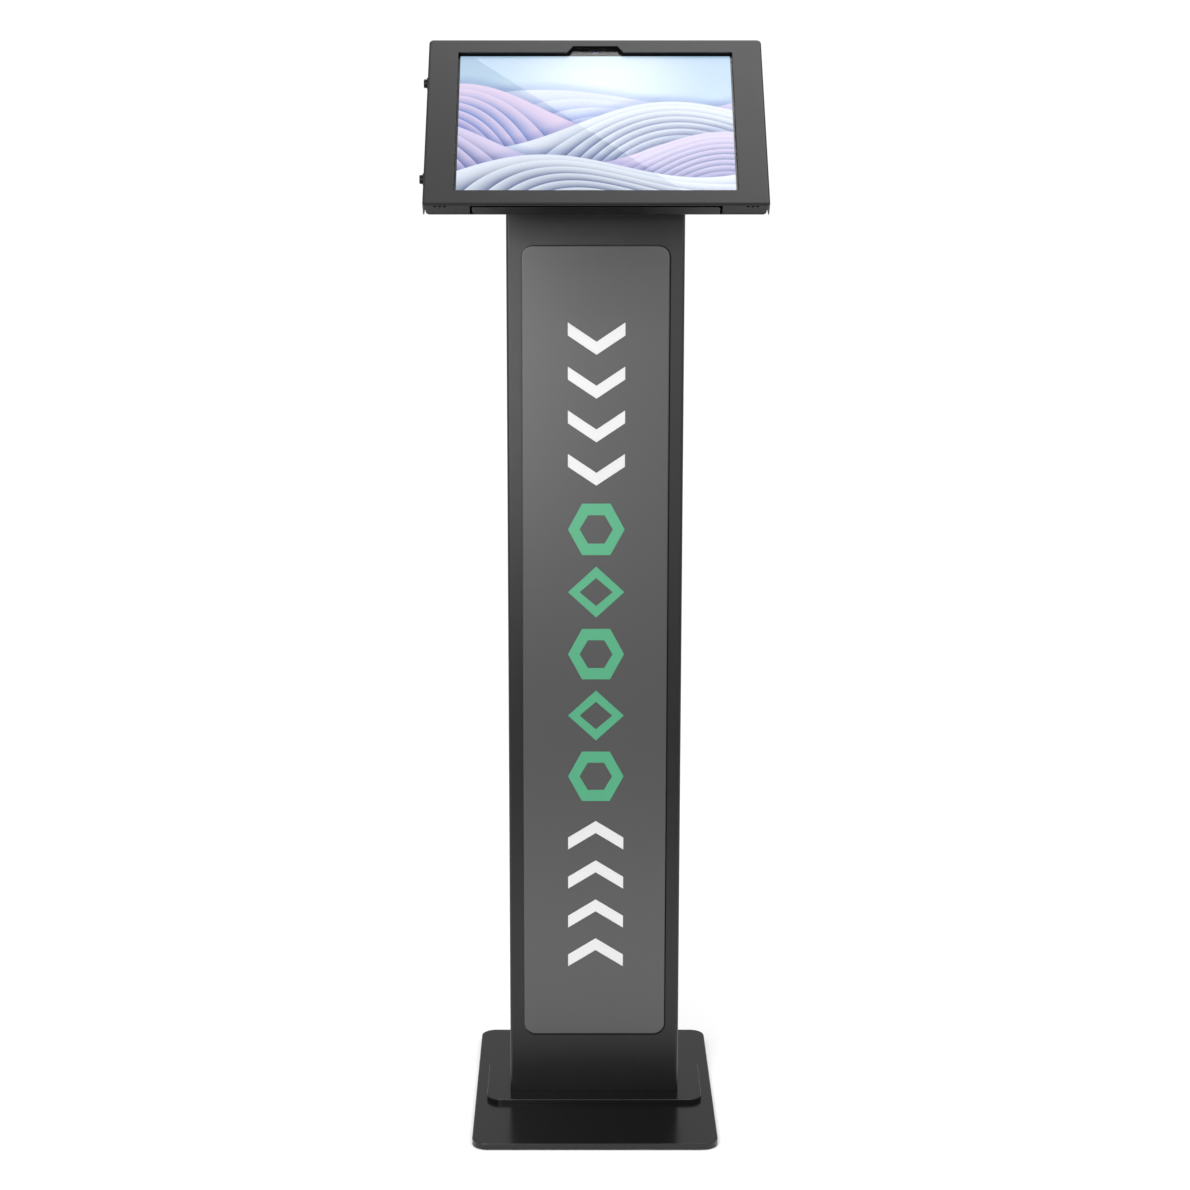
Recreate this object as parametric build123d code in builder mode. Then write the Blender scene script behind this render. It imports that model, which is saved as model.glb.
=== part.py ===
from build123d import *
import os
from math import cos, radians, sin

# A floor stand for a tablet: a steel base, a bent sheet column with a printed
# panel, and a sloping lockable head that holds the tablet behind a cover.
# Millimetres. X runs across, Y from front to back, Z up. The origin is on the
# floor, under the middle of the column.

# Base: its plate reaches past the foot plate by these margins
base_side_margin = 12.0
base_end_margin = 102.0
base_thickness = 6.4
base_corner = 16.0
edge_break = 0.8
pad_thickness = 1.0
pad_inset = 6.0
pad_hole_radius = 10.0
bolt_radius = 4.0
bolt_head_radius = 8.0
bolt_spacing_x = 120.0
bolt_spacing_y = 26.0
bolt_nut_radius = 7.5
bolt_nut_height = 6.5
bolt_end = 1.2

# Foot plate: it shows the same margin all round the column
foot_margin = 25.0
foot_thickness = 4.8
foot_corner = 16.0

# Column: a C-shaped channel, open at the back between two lips
column_width = 180.0
column_depth = 60.0
column_wall = 2.0
column_bend = 3.0
column_lip = 22.0

# Printed panel on the column's front, held by a magnetic sheet
panel_side_gap = 15.2
panel_above_foot = 65.2
panel_below_head = 72.4
panel_corner = 12.0
panel_thickness = 2.0
panel_edge_round = 1.6
backing_thickness = 0.8
backing_inset = 3.0
backing_gap = 0.2

# Rear cover of the column
rear_sheet = 1.5
rear_side_gap = 4.0
rear_corner = 4.0
rear_end_gap = 8.0
rear_screw_inset = 24.0
rear_screw_rows = 5
screw_radius = 2.0
screw_head_radius = 3.8
screw_head_height = 2.2
screw_head_taper = 25.0
screw_end = 1.0
socket_radius = 1.4
socket_depth = 1.3
nut_ring_radius = 3.8
nut_ring_height = 2.2
outlet_above_foot = 48.0

# Rubber grommets
grommet_hole_radius = 16.0
grommet_flange = 3.0
grommet_flange_thickness = 2.0
grommet_bore_radius = 12.0

# Cable clips inside the column
clip_width = 22.0
clip_height = 16.0
clip_stand = 10.0
clip_side_wall = 3.5
clip_wall = 1.8
clip_place_shares = (0.22, 0.5, 0.78)

# Head: depths are measured down from the outer face of the cover
tilt = 45.0
head_height = 1039.4
cover_sheet = 1.5
cover_bend = 2.4
cover_corner = 4.5
cover_lower_corner = 3.0
window_side_reveal = 2.1
window_lower_reveal = 3.5
window_upper_reveal = 1.2
window_side_border = 30.15
window_end_border = 18.5
window_corner = 0.8
notch_top_width = 45.3
notch_base_width = 57.0
notch_height = 8.7
notch_corner = 1.2
vent_width = 3.0
vent_height = 1.8
vent_depth = 3.2
vent_pitch = 4.6
vent_inset = 12.4
vent_count = 3
slit_width = 2.4
slit_start_depth = 7.6
window_wall_gap = 0.3
gasket_side_margin = 14.0
gasket_end_margin = 11.5

# Rear tray: a rim plate with turned-up walls, a lower lip and a well
rim_sheet = 2.0
flange_gap = 0.4
tray_side_gap = 2.6
tray_top_gap = 0.6
tray_corner = 2.0
wall_sheet = 1.5
wall_top_depth = 4.0
wall_end_gap = 14.0
lip_end_inset = 48.65
lip_top_depth = 4.2
lip_corner = 3.0
lip_gap = 2.3
lip_top_gap = 1.9
lip_bend = 1.5
rim_rest = 4.0
well_depth = 11.3
well_sheet = 1.5
well_corner = 8.0
well_bend = 3.0

# Neck bracket under the tray
plate_sheet = 3.0
plate_end_margin = 12.0
plate_corner = 10.0
cheek_sheet = 2.5
cheek_gap = 0.3
cheek_end_gap = 2.0
cheek_drop = 50.0
vesa_spacing = 100.0
side_screw_radius = 2.5
side_screw_spacing = 26.0
side_screw_rise = 16.0
side_nut_radius = 4.4
side_nut_height = 3.5

# Hinge along the right side
hinge_end_gap = 12.9
hinge_knuckles = 9
knuckle_radius = 2.5
knuckle_gap = 0.4
knuckle_clearance = 0.5
pin_radius = 1.0
leaf_sheet = 1.2
leaf_width = 8.25
leaf_reach_depth = 5.0
hinge_rim_gap = 0.3

# Security screws on the left side
lock_place_shares = (0.53, -0.63)
lock_radius = 2.5
lock_length = 12.5
lock_head_radius = 4.4
lock_head_height = 3.2
lock_head_round = 0.6
lock_socket_radius = 1.9
lock_socket_depth = 2.0
lock_socket_pin_radius = 0.5
washer_radius = 6.0
washer_thickness = 0.8
lock_slot_clearance = 0.4
bush_radius = 4.5
bush_neck_radius = 3.5
bush_inner_length = 4.5
bush_gap = 0.5
bush_rim_gap = 0.2

# Tablet: a black border runs round its display
display_width = 274.6
display_height = 184.1
display_thickness = 1.6
screen_side_border = 6.2
screen_end_border = 11.95
tablet_thickness = 7.3
tablet_corner = 8.0
tablet_back_round = 1.6
glass_depth = 3.9
glass_thickness = 0.8
glass_inset = 0.5
glass_edge_round = 0.3
casing_wall = 1.2
casing_floor = 1.0
mask_thickness = 0.8
camera_radius = 3.0
battery_side_gap = 47.3
battery_end_gap = 32.7
battery_board_gap = 0.8
battery_thickness = 3.4
board_side_gap = 22.3
board_height = 58.0
board_thickness = 1.2
button_width = 2.4
button_stand = 0.6
button_inside = 2.4
button_clearance = 0.25
power_length = 16.0
power_inset = 47.5
rocker_length = 24.0
rocker_inset = 81.5

# Blocks and foam that hold the tablet in the tray
block_reach = 20.0
block_end_gap = 11.0
block_clearance = 0.3
foam_width = 2.4
foam_thickness = 2.5
foam_end_gap = 23.5

# Fits
sink_taper = 45.0
running_clearance = 0.05
body_gap = 0.3
overrun = 5.0

os.makedirs("parts", exist_ok=True)

# Levels and places that follow from the sizes above
foot_width = column_width + 2 * foot_margin
foot_length = column_depth + 2 * foot_margin
base_width = foot_width + 2 * base_side_margin
base_length = foot_length + 2 * base_end_margin
base_top = pad_thickness + base_thickness
foot_top = base_top + foot_thickness
column_front = -column_depth / 2
column_inner_front = column_front + column_wall
column_inner_width = column_width - 2 * column_wall
rear_width = column_width - 2 * rear_side_gap
panel_width = column_width - 2 * panel_side_gap
panel_bottom = foot_top + panel_above_foot

tablet_width = display_width + 2 * screen_side_border
tablet_height = display_height + 2 * screen_end_border
window_width = display_width + 2 * window_side_reveal
window_length = display_height + window_lower_reveal + window_upper_reveal
cover_width = window_width + 2 * window_side_border
cover_length = window_length + 2 * window_end_border
lip_width = cover_width - 2 * lip_end_inset
plate_length = vesa_spacing + 2 * plate_end_margin

tilt_cos = cos(radians(tilt))
tilt_sin = sin(radians(tilt))
glass_back_depth = glass_depth + glass_thickness
tablet_back_depth = glass_depth + tablet_thickness
rim_front_depth = tablet_back_depth + foam_thickness
rim_back_depth = rim_front_depth + rim_sheet
cover_depth = rim_back_depth
lock_depth = rim_front_depth - bush_neck_radius - bush_rim_gap
bottom_flange_depth = rim_front_depth - flange_gap
well_back_depth = rim_back_depth + well_depth
plate_back_depth = well_back_depth + plate_sheet
head_y = -plate_back_depth * tilt_sin
HEAD = Plane((0, head_y, head_height), x_dir=(1, 0, 0), z_dir=(0, -tilt_sin, tilt_cos))
across_axis = Axis(HEAD.origin, HEAD.x_dir)
slope_axis = Axis(HEAD.origin, HEAD.y_dir)
outward_axis = Axis(HEAD.origin, HEAD.z_dir)

cover_half = cover_width / 2
cover_end = cover_length / 2
tray_half = cover_half - cover_sheet - tray_side_gap
tray_top = cover_end - cover_sheet - tray_top_gap
tray_bottom = -cover_end
tablet_u = (window_lower_reveal - window_upper_reveal) / 2
hinge_x = cover_half - cover_sheet - knuckle_radius
hinge_depth = cover_depth + hinge_rim_gap + knuckle_radius
hinge_length = cover_length - 2 * hinge_end_gap
leaf_inner = hinge_x - leaf_width
well_width = 2 * (leaf_inner - body_gap)
well_length = tablet_height - 2 * rim_rest
lock_places = [share * cover_end for share in lock_place_shares]


def head_plane(depth, x=0.0, u=0.0):
    """Plane along the head's face, at a depth below it, facing out of the head."""
    return Plane(HEAD.from_local_coords((x, u, -depth)), x_dir=HEAD.x_dir, z_dir=HEAD.z_dir)


def side_plane(x):
    """Plane across the head: its x runs up the slope, its y out of the head."""
    return Plane(HEAD.from_local_coords((x, 0, 0)), x_dir=HEAD.y_dir, z_dir=HEAD.x_dir)


def slope_plane(u):
    """Plane square to the slope: its x runs across, its y runs into the head."""
    return Plane(HEAD.from_local_coords((0, u, 0)), x_dir=HEAD.x_dir, z_dir=HEAD.y_dir)


def front_plane(y):
    """Upright plane facing the front, at a given y."""
    return Plane.XZ.offset(-y)


def plate_back_z(y):
    """Height of the neck plate's underside above the floor, at a given y."""
    return head_height + ((y - head_y) * tilt_sin - plate_back_depth) / tilt_cos


def discs(plane, places, radius, amount, taper=0.0, mode=Mode.ADD):
    """Round discs, or cones where there is a taper, at places on a plane."""
    with BuildSketch(plane) as rounds:
        with Locations(*places):
            Circle(radius)
    extrude(rounds.sketch, amount=amount, taper=taper, mode=mode)


def block(plane, low, high, amount, mode=Mode.ADD, corner=0.0):
    """A rectangle between two corners on a plane, drawn out to a block."""
    with BuildSketch(plane) as outline:
        with Locations(((low[0] + high[0]) / 2, (low[1] + high[1]) / 2)):
            if corner > 0:
                RectangleRounded(high[0] - low[0], high[1] - low[1], corner)
            else:
                Rectangle(high[0] - low[0], high[1] - low[1])
    extrude(outline.sketch, amount=amount, mode=mode)


def window_outline(mode=Mode.ADD):
    """The display window with the camera notch in its upper edge."""
    RectangleRounded(window_width, window_length, window_corner, mode=mode)
    top = window_length / 2
    Polygon(
        (-notch_base_width / 2 - notch_height, top - notch_height),
        (notch_base_width / 2 + notch_height, top - notch_height),
        (notch_base_width / 2, top),
        (notch_top_width / 2, top + notch_height),
        (-notch_top_width / 2, top + notch_height),
        (-notch_base_width / 2, top),
        mode=mode,
    )


# Base plate, with countersunk holes for the bolts from below
bolt_places = [
    (x * bolt_spacing_x / 2, y * bolt_spacing_y / 2) for x in (-1, 1) for y in (-1, 1)
]
bolt_cone = bolt_head_radius - bolt_radius

with BuildPart() as base_plate:
    with BuildSketch(Plane.XY.offset(pad_thickness)):
        RectangleRounded(base_width, base_length, base_corner)
    extrude(amount=base_thickness)
    fillet(base_plate.faces().sort_by(Axis.Z)[-1].edges(), edge_break)
    discs(
        Plane.XY.offset(pad_thickness), bolt_places, bolt_radius + running_clearance,
        base_thickness, mode=Mode.SUBTRACT,
    )
    discs(
        Plane.XY.offset(pad_thickness), bolt_places, bolt_head_radius + running_clearance,
        bolt_cone, taper=sink_taper, mode=Mode.SUBTRACT,
    )
base_plate.part.label = "base_plate"
export_step(base_plate.part, "parts/base_plate.step")

# Rubber sheet under the base plate, open below the bolts
with BuildPart() as floor_pad:
    with BuildSketch(Plane.XY):
        RectangleRounded(
            base_width - 2 * pad_inset, base_length - 2 * pad_inset, base_corner - pad_inset
        )
        with Locations(*bolt_places):
            Circle(pad_hole_radius, mode=Mode.SUBTRACT)
    extrude(amount=pad_thickness)
floor_pad.part.label = "floor_pad"
export_step(floor_pad.part, "parts/floor_pad.step")

# Foot plate, welded to the column's lower end
with BuildPart() as foot_plate:
    with BuildSketch(Plane.XY.offset(base_top)):
        RectangleRounded(foot_width, foot_length, foot_corner)
    extrude(amount=foot_thickness)
    fillet(foot_plate.faces().sort_by(Axis.Z)[-1].edges(), edge_break)
    discs(
        Plane.XY.offset(base_top), bolt_places, bolt_radius + running_clearance,
        foot_thickness, mode=Mode.SUBTRACT,
    )
foot_plate.part.label = "foot_plate"
export_step(foot_plate.part, "parts/foot_plate.step")

with BuildPart() as base_bolts:
    discs(Plane.XY.offset(pad_thickness), bolt_places, bolt_head_radius, bolt_cone, taper=sink_taper)
    discs(
        Plane.XY.offset(pad_thickness), bolt_places, bolt_radius,
        base_thickness + foot_thickness + bolt_nut_height + bolt_end,
    )
    with BuildSketch(Plane.XY.offset(pad_thickness)):
        with Locations(*bolt_places):
            RegularPolygon(bolt_radius / 2, 6)
    extrude(amount=bolt_radius / 2, mode=Mode.SUBTRACT)
base_bolts.part.label = "base_bolts"
export_step(base_bolts.part, "parts/base_bolts.step")

with BuildPart() as base_nuts:
    with BuildSketch(Plane.XY.offset(foot_top)):
        with Locations(*bolt_places):
            RegularPolygon(bolt_nut_radius, 6)
            Circle(bolt_radius + running_clearance, mode=Mode.SUBTRACT)
    extrude(amount=bolt_nut_height)
base_nuts.part.label = "base_nuts"
export_step(base_nuts.part, "parts/base_nuts.step")

# Column channel, its upper end cut off square to the slope of the head
cheek_low_z = plate_back_z(column_inner_front) - cheek_drop
side_screw_z = cheek_low_z + side_screw_rise
side_screw_places = [(y * side_screw_spacing / 2, side_screw_z) for y in (-1, 1)]
side_cone = column_wall
side_head_radius = side_screw_radius + side_cone
lip_middle = column_width / 2 - column_lip / 2
column_top_back = plate_back_z(column_depth / 2)
rear_bottom = foot_top + rear_end_gap
rear_top = column_top_back - rear_end_gap
rear_screw_pitch = (rear_top - rear_bottom - 2 * rear_screw_inset) / (rear_screw_rows - 1)
rear_screw_places = [
    (x * lip_middle, rear_bottom + rear_screw_inset + row * rear_screw_pitch)
    for x in (-1, 1)
    for row in range(rear_screw_rows)
]
back_plane = Plane((0, column_depth / 2, 0), x_dir=(-1, 0, 0), z_dir=(0, 1, 0))

with BuildPart() as column_shell:
    with BuildSketch(Plane.XY.offset(foot_top)):
        Rectangle(column_width, column_depth)
        fillet(vertices(), column_bend)
        RectangleRounded(
            column_inner_width, column_depth - 2 * column_wall,
            column_bend - column_wall, mode=Mode.SUBTRACT,
        )
        with Locations((0, column_depth / 2)):
            Rectangle(
                column_width - 2 * column_lip, 2 * column_wall + overrun, mode=Mode.SUBTRACT
            )
    extrude(amount=column_top_back + overrun - foot_top)
    split(bisect_by=head_plane(plate_back_depth), keep=Keep.BOTTOM)
    for side in (-1, 1):
        wall_plane = Plane(
            (side * column_width / 2, 0, 0), x_dir=(0, side, 0), z_dir=(side, 0, 0)
        )
        places = [(side * y, z) for y, z in side_screw_places]
        discs(
            wall_plane, places, side_head_radius + running_clearance, -side_cone,
            taper=sink_taper, mode=Mode.SUBTRACT,
        )
    discs(
        back_plane, rear_screw_places, screw_radius + running_clearance,
        -column_wall, mode=Mode.SUBTRACT,
    )
column_shell.part.label = "column_shell"
export_step(column_shell.part, "parts/column_shell.step")

# Printed panel and the magnetic sheet behind it
panel_height = plate_back_z(column_front) - panel_below_head - panel_bottom
panel_middle = panel_bottom + panel_height / 2
backing_front = column_front - backing_gap - backing_thickness

with BuildPart() as magnetic_backing:
    with BuildSketch(front_plane(column_front - backing_gap)):
        with Locations((0, panel_middle)):
            RectangleRounded(
                panel_width - 2 * backing_inset, panel_height - 2 * backing_inset,
                panel_corner - backing_inset,
            )
    extrude(amount=backing_thickness)
magnetic_backing.part.label = "magnetic_backing"
export_step(magnetic_backing.part, "parts/magnetic_backing.step")

with BuildPart() as graphic_panel:
    with BuildSketch(front_plane(backing_front)):
        with Locations((0, panel_middle)):
            RectangleRounded(panel_width, panel_height, panel_corner)
    extrude(amount=panel_thickness)
    fillet(graphic_panel.faces().sort_by(Axis.Y)[0].edges(), panel_edge_round)
graphic_panel.part.label = "graphic_panel"
export_step(graphic_panel.part, "parts/graphic_panel.step")

# Rear cover with its screws, their clinch nuts and the cable grommet
outlet_z = foot_top + outlet_above_foot

with BuildPart() as rear_cover:
    with BuildSketch(back_plane):
        with Locations((0, (rear_bottom + rear_top) / 2)):
            RectangleRounded(rear_width, rear_top - rear_bottom, rear_corner)
    extrude(amount=rear_sheet)
    discs(
        back_plane, rear_screw_places, screw_radius + running_clearance,
        rear_sheet, mode=Mode.SUBTRACT,
    )
    discs(back_plane, [(0, outlet_z)], grommet_hole_radius, rear_sheet, mode=Mode.SUBTRACT)
rear_cover.part.label = "rear_cover"
export_step(rear_cover.part, "parts/rear_cover.step")

with BuildPart() as rear_cover_screws:
    discs(
        back_plane.offset(rear_sheet), rear_screw_places, screw_head_radius,
        screw_head_height, taper=screw_head_taper,
    )
    discs(
        back_plane.offset(rear_sheet), rear_screw_places, screw_radius,
        -(rear_sheet + column_wall + nut_ring_height + screw_end),
    )
    with BuildSketch(back_plane.offset(rear_sheet + screw_head_height)):
        with Locations(*rear_screw_places):
            RegularPolygon(socket_radius, 6)
    extrude(amount=-socket_depth, mode=Mode.SUBTRACT)
rear_cover_screws.part.label = "rear_cover_screws"
export_step(rear_cover_screws.part, "parts/rear_cover_screws.step")

with BuildPart() as rear_cover_nuts:
    with BuildSketch(back_plane.offset(-column_wall)):
        with Locations(*rear_screw_places):
            Circle(nut_ring_radius)
            Circle(screw_radius + running_clearance, mode=Mode.SUBTRACT)
    extrude(amount=-nut_ring_height)
rear_cover_nuts.part.label = "rear_cover_nuts"
export_step(rear_cover_nuts.part, "parts/rear_cover_nuts.step")

with BuildPart() as cable_grommet:
    flange_radius = grommet_hole_radius + grommet_flange
    discs(back_plane.offset(rear_sheet), [(0, outlet_z)], flange_radius, grommet_flange_thickness)
    fillet(cable_grommet.faces().sort_by(Axis.Y)[-1].edges(), edge_break)
    discs(back_plane, [(0, outlet_z)], grommet_hole_radius, rear_sheet)
    discs(back_plane, [(0, outlet_z)], flange_radius, -grommet_flange_thickness)
    discs(
        back_plane.offset(rear_sheet + grommet_flange_thickness), [(0, outlet_z)],
        grommet_bore_radius, -(rear_sheet + 2 * grommet_flange_thickness), mode=Mode.SUBTRACT,
    )
cable_grommet.part.label = "cable_grommet"
export_step(cable_grommet.part, "parts/cable_grommet.step")

# Clips that guide a cable up the inside of the column's front
clip_places = [
    (0, foot_top + share * (plate_back_z(column_inner_front) - foot_top))
    for share in clip_place_shares
]

with BuildPart() as cable_clips:
    with BuildSketch(front_plane(column_inner_front)):
        with Locations(*clip_places):
            Rectangle(clip_width, clip_height)
    extrude(amount=-clip_stand)
    with BuildSketch(front_plane(column_inner_front + clip_wall)):
        with Locations(*clip_places):
            Rectangle(clip_width - 2 * clip_side_wall, clip_height)
    extrude(amount=-(clip_stand - 2 * clip_wall), mode=Mode.SUBTRACT)
cable_clips.part.label = "cable_clips"
export_step(cable_clips.part, "parts/cable_clips.step")

# Neck bracket: a sloping plate on the column's upper end and two cheeks inside it
vesa_places = [(x * vesa_spacing / 2, u * vesa_spacing / 2) for x in (-1, 1) for u in (-1, 1)]
cheek_outer = column_inner_width / 2 - cheek_gap
cheek_y = column_depth / 2 - column_wall - cheek_end_gap

with BuildPart() as mounting_bracket:
    with BuildSketch(head_plane(plate_back_depth)):
        RectangleRounded(column_width, plate_length, plate_corner)
    extrude(amount=plate_sheet)
    with BuildSketch(Plane.YZ.offset(cheek_outer - cheek_sheet)):
        Polygon(
            (-cheek_y, plate_back_z(-cheek_y)),
            (cheek_y, plate_back_z(cheek_y)),
            (cheek_y, cheek_low_z),
            (-cheek_y, cheek_low_z),
        )
        with Locations(*side_screw_places):
            Circle(side_screw_radius + running_clearance, mode=Mode.SUBTRACT)
    cheek = extrude(amount=cheek_sheet)
    mirror(cheek, about=Plane.YZ)
    discs(
        head_plane(plate_back_depth), vesa_places, screw_radius + running_clearance,
        plate_sheet, mode=Mode.SUBTRACT,
    )
    discs(
        head_plane(plate_back_depth), [(0, 0)], grommet_hole_radius,
        plate_sheet, mode=Mode.SUBTRACT,
    )
mounting_bracket.part.label = "mounting_bracket"
export_step(mounting_bracket.part, "parts/mounting_bracket.step")

with BuildPart() as bracket_screws:
    for side in (-1, 1):
        wall_plane = Plane(
            (side * column_width / 2, 0, 0), x_dir=(0, side, 0), z_dir=(side, 0, 0)
        )
        places = [(side * y, z) for y, z in side_screw_places]
        discs(wall_plane, places, side_head_radius, -side_cone, taper=sink_taper)
        discs(
            wall_plane, places, side_screw_radius,
            -(column_wall + cheek_gap + cheek_sheet + side_nut_height),
        )
        with BuildSketch(wall_plane) as sockets:
            with Locations(*places):
                RegularPolygon(side_screw_radius / 2, 6)
        extrude(sockets.sketch, amount=-side_cone / 2, mode=Mode.SUBTRACT)
bracket_screws.part.label = "bracket_screws"
export_step(bracket_screws.part, "parts/bracket_screws.step")

with BuildPart() as bracket_nuts:
    with BuildSketch(Plane.YZ.offset(cheek_outer - cheek_sheet)):
        with Locations(*side_screw_places):
            Circle(side_nut_radius)
            Circle(side_screw_radius + running_clearance, mode=Mode.SUBTRACT)
    nut = extrude(amount=-side_nut_height)
    mirror(nut, about=Plane.YZ)
bracket_nuts.part.label = "bracket_nuts"
export_step(bracket_nuts.part, "parts/bracket_nuts.step")

# Rear tray
lock_hole_places = [(u, -lock_depth) for u in lock_places]
wall_top = tray_top - wall_end_gap
lip_low = lip_top_depth + lip_corner

with BuildPart() as rear_tray:
    block(
        head_plane(rim_back_depth), (-tray_half, tray_bottom), (tray_half, tray_top),
        rim_sheet, corner=tray_corner,
    )
    with BuildSketch(head_plane(well_back_depth, u=tablet_u)):
        RectangleRounded(well_width, well_length, well_corner)
    extrude(amount=well_depth)
    fillet(rear_tray.faces().sort_by(outward_axis)[0].edges(), well_bend)
    with BuildSketch(head_plane(well_back_depth - well_sheet, u=tablet_u)):
        RectangleRounded(
            well_width - 2 * well_sheet, well_length - 2 * well_sheet, well_corner - well_sheet
        )
    extrude(amount=well_depth + overrun, mode=Mode.SUBTRACT)
    bottom_edges = rear_tray.edges().filter_by(across_axis).group_by(slope_axis)[0]
    fillet(bottom_edges.sort_by(outward_axis)[0], lip_bend)
    # Upper wall and left wall, turned up towards the cover
    block(
        head_plane(rim_front_depth), (-wall_top, tray_top - wall_sheet), (wall_top, tray_top),
        rim_front_depth - wall_top_depth,
    )
    block(
        head_plane(rim_front_depth), (-tray_half, -wall_top), (wall_sheet - tray_half, wall_top),
        rim_front_depth - wall_top_depth,
    )
    # Lower lip that fills the notch in the cover's bottom flange
    with BuildSketch(slope_plane(tray_bottom)) as lip:
        with Locations((0, (lip_top_depth + rim_front_depth) / 2)):
            Rectangle(lip_width, rim_front_depth - lip_top_depth)
        fillet(lip.vertices().sort_by(Axis.Z)[-2:], lip_corner)
    extrude(amount=rim_sheet)
    discs(
        head_plane(well_back_depth), vesa_places, screw_radius + running_clearance,
        well_sheet, mode=Mode.SUBTRACT,
    )
    discs(
        head_plane(well_back_depth), [(0, 0)], grommet_hole_radius,
        well_sheet, mode=Mode.SUBTRACT,
    )
    discs(
        side_plane(-tray_half), lock_hole_places, bush_neck_radius,
        wall_sheet, mode=Mode.SUBTRACT,
    )
rear_tray.part.label = "rear_tray"
export_step(rear_tray.part, "parts/rear_tray.step")

vesa_floor = well_back_depth - well_sheet

with BuildPart() as vesa_screws:
    discs(
        head_plane(vesa_floor), vesa_places, screw_head_radius,
        screw_head_height, taper=screw_head_taper,
    )
    discs(
        head_plane(vesa_floor), vesa_places, screw_radius,
        -(well_sheet + plate_sheet + nut_ring_height),
    )
    with BuildSketch(head_plane(vesa_floor - screw_head_height)):
        with Locations(*vesa_places):
            RegularPolygon(socket_radius, 6)
    extrude(amount=-socket_depth, mode=Mode.SUBTRACT)
vesa_screws.part.label = "vesa_screws"
export_step(vesa_screws.part, "parts/vesa_screws.step")

with BuildPart() as vesa_nuts:
    with BuildSketch(head_plane(plate_back_depth)):
        with Locations(*vesa_places):
            Circle(nut_ring_radius)
            Circle(screw_radius + running_clearance, mode=Mode.SUBTRACT)
    extrude(amount=-nut_ring_height)
vesa_nuts.part.label = "vesa_nuts"
export_step(vesa_nuts.part, "parts/vesa_nuts.step")

with BuildPart() as head_grommet:
    stack = well_sheet + plate_sheet
    discs(head_plane(plate_back_depth), [(0, 0)], flange_radius, -grommet_flange_thickness)
    discs(head_plane(plate_back_depth), [(0, 0)], grommet_hole_radius, stack)
    discs(head_plane(vesa_floor), [(0, 0)], flange_radius, grommet_flange_thickness)
    discs(
        head_plane(vesa_floor - grommet_flange_thickness), [(0, 0)], grommet_bore_radius,
        -(stack + 2 * grommet_flange_thickness), mode=Mode.SUBTRACT,
    )
head_grommet.part.label = "head_grommet"
export_step(head_grommet.part, "parts/head_grommet.step")

# Front cover: a shallow pan of sheet, open at the back
flange_cut = cover_sheet + cover_bend
bottom_plane = slope_plane(-cover_end - overrun)
lip_notch_half = lip_width / 2 + lip_gap
lip_notch_depth = lip_top_depth - lip_top_gap
slit_side = cover_half - cover_sheet

with BuildPart() as front_cover:
    with BuildSketch(head_plane(cover_depth)):
        Rectangle(cover_width, cover_length)
    extrude(amount=cover_depth)
    corners = front_cover.edges().filter_by(outward_axis).sort_by(slope_axis)
    fillet(corners[-2:], cover_corner)
    corners = front_cover.edges().filter_by(outward_axis).sort_by(slope_axis)
    fillet(corners[:2], cover_lower_corner)
    fillet(front_cover.faces().sort_by(outward_axis)[-1].edges(), cover_bend)
    offset(amount=-cover_sheet, openings=front_cover.faces().sort_by(outward_axis)[0])
    with BuildSketch(head_plane(cover_sheet + overrun)):
        window_outline()
    extrude(amount=cover_sheet + 2 * overrun, mode=Mode.SUBTRACT)
    # The bottom flange stops short of the tray's rim and is notched for its lip
    block(
        bottom_plane, (-slit_side, bottom_flange_depth), (slit_side, cover_depth + overrun),
        overrun + flange_cut, mode=Mode.SUBTRACT,
    )
    block(
        bottom_plane, (-lip_notch_half, lip_notch_depth), (lip_notch_half, cover_depth),
        overrun + cover_sheet, mode=Mode.SUBTRACT,
    )
    for side in (-1, 1):
        # Open corner between the bottom flange and the side flange
        with BuildSketch(bottom_plane) as slit:
            Polygon(
                (side * (slit_side - slit_width / 2), slit_start_depth),
                (side * slit_side, cover_depth),
                (side * (slit_side - slit_width), cover_depth),
            )
        extrude(slit.sketch, amount=overrun + flange_cut, mode=Mode.SUBTRACT)
        with BuildSketch(bottom_plane) as vents:
            for number in range(vent_count):
                vent_x = cover_half - vent_inset - number * vent_pitch
                with Locations((side * vent_x, vent_depth)):
                    SlotOverall(vent_width, vent_height)
        extrude(vents.sketch, amount=overrun + flange_cut, mode=Mode.SUBTRACT)
    # Open slots that pass over the security screws
    slot_width = 2 * (lock_radius + lock_slot_clearance)
    with BuildSketch(side_plane(-cover_half)):
        for u in lock_places:
            with Locations((u, -lock_depth)):
                Circle(slot_width / 2)
            with Locations((u, -(lock_depth + cover_depth) / 2)):
                Rectangle(slot_width, cover_depth - lock_depth)
    extrude(amount=cover_sheet, mode=Mode.SUBTRACT)
front_cover.part.label = "front_cover"
export_step(front_cover.part, "parts/front_cover.step")

gasket_thickness = glass_depth - cover_sheet - window_wall_gap

with BuildPart() as window_gasket:
    with BuildSketch(head_plane(cover_sheet + gasket_thickness)):
        RectangleRounded(
            window_width + 2 * gasket_side_margin, window_length + 2 * gasket_end_margin,
            cover_corner,
        )
        window_outline(mode=Mode.SUBTRACT)
    extrude(amount=gasket_thickness)
window_gasket.part.label = "window_gasket"
export_step(window_gasket.part, "parts/window_gasket.step")

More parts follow.
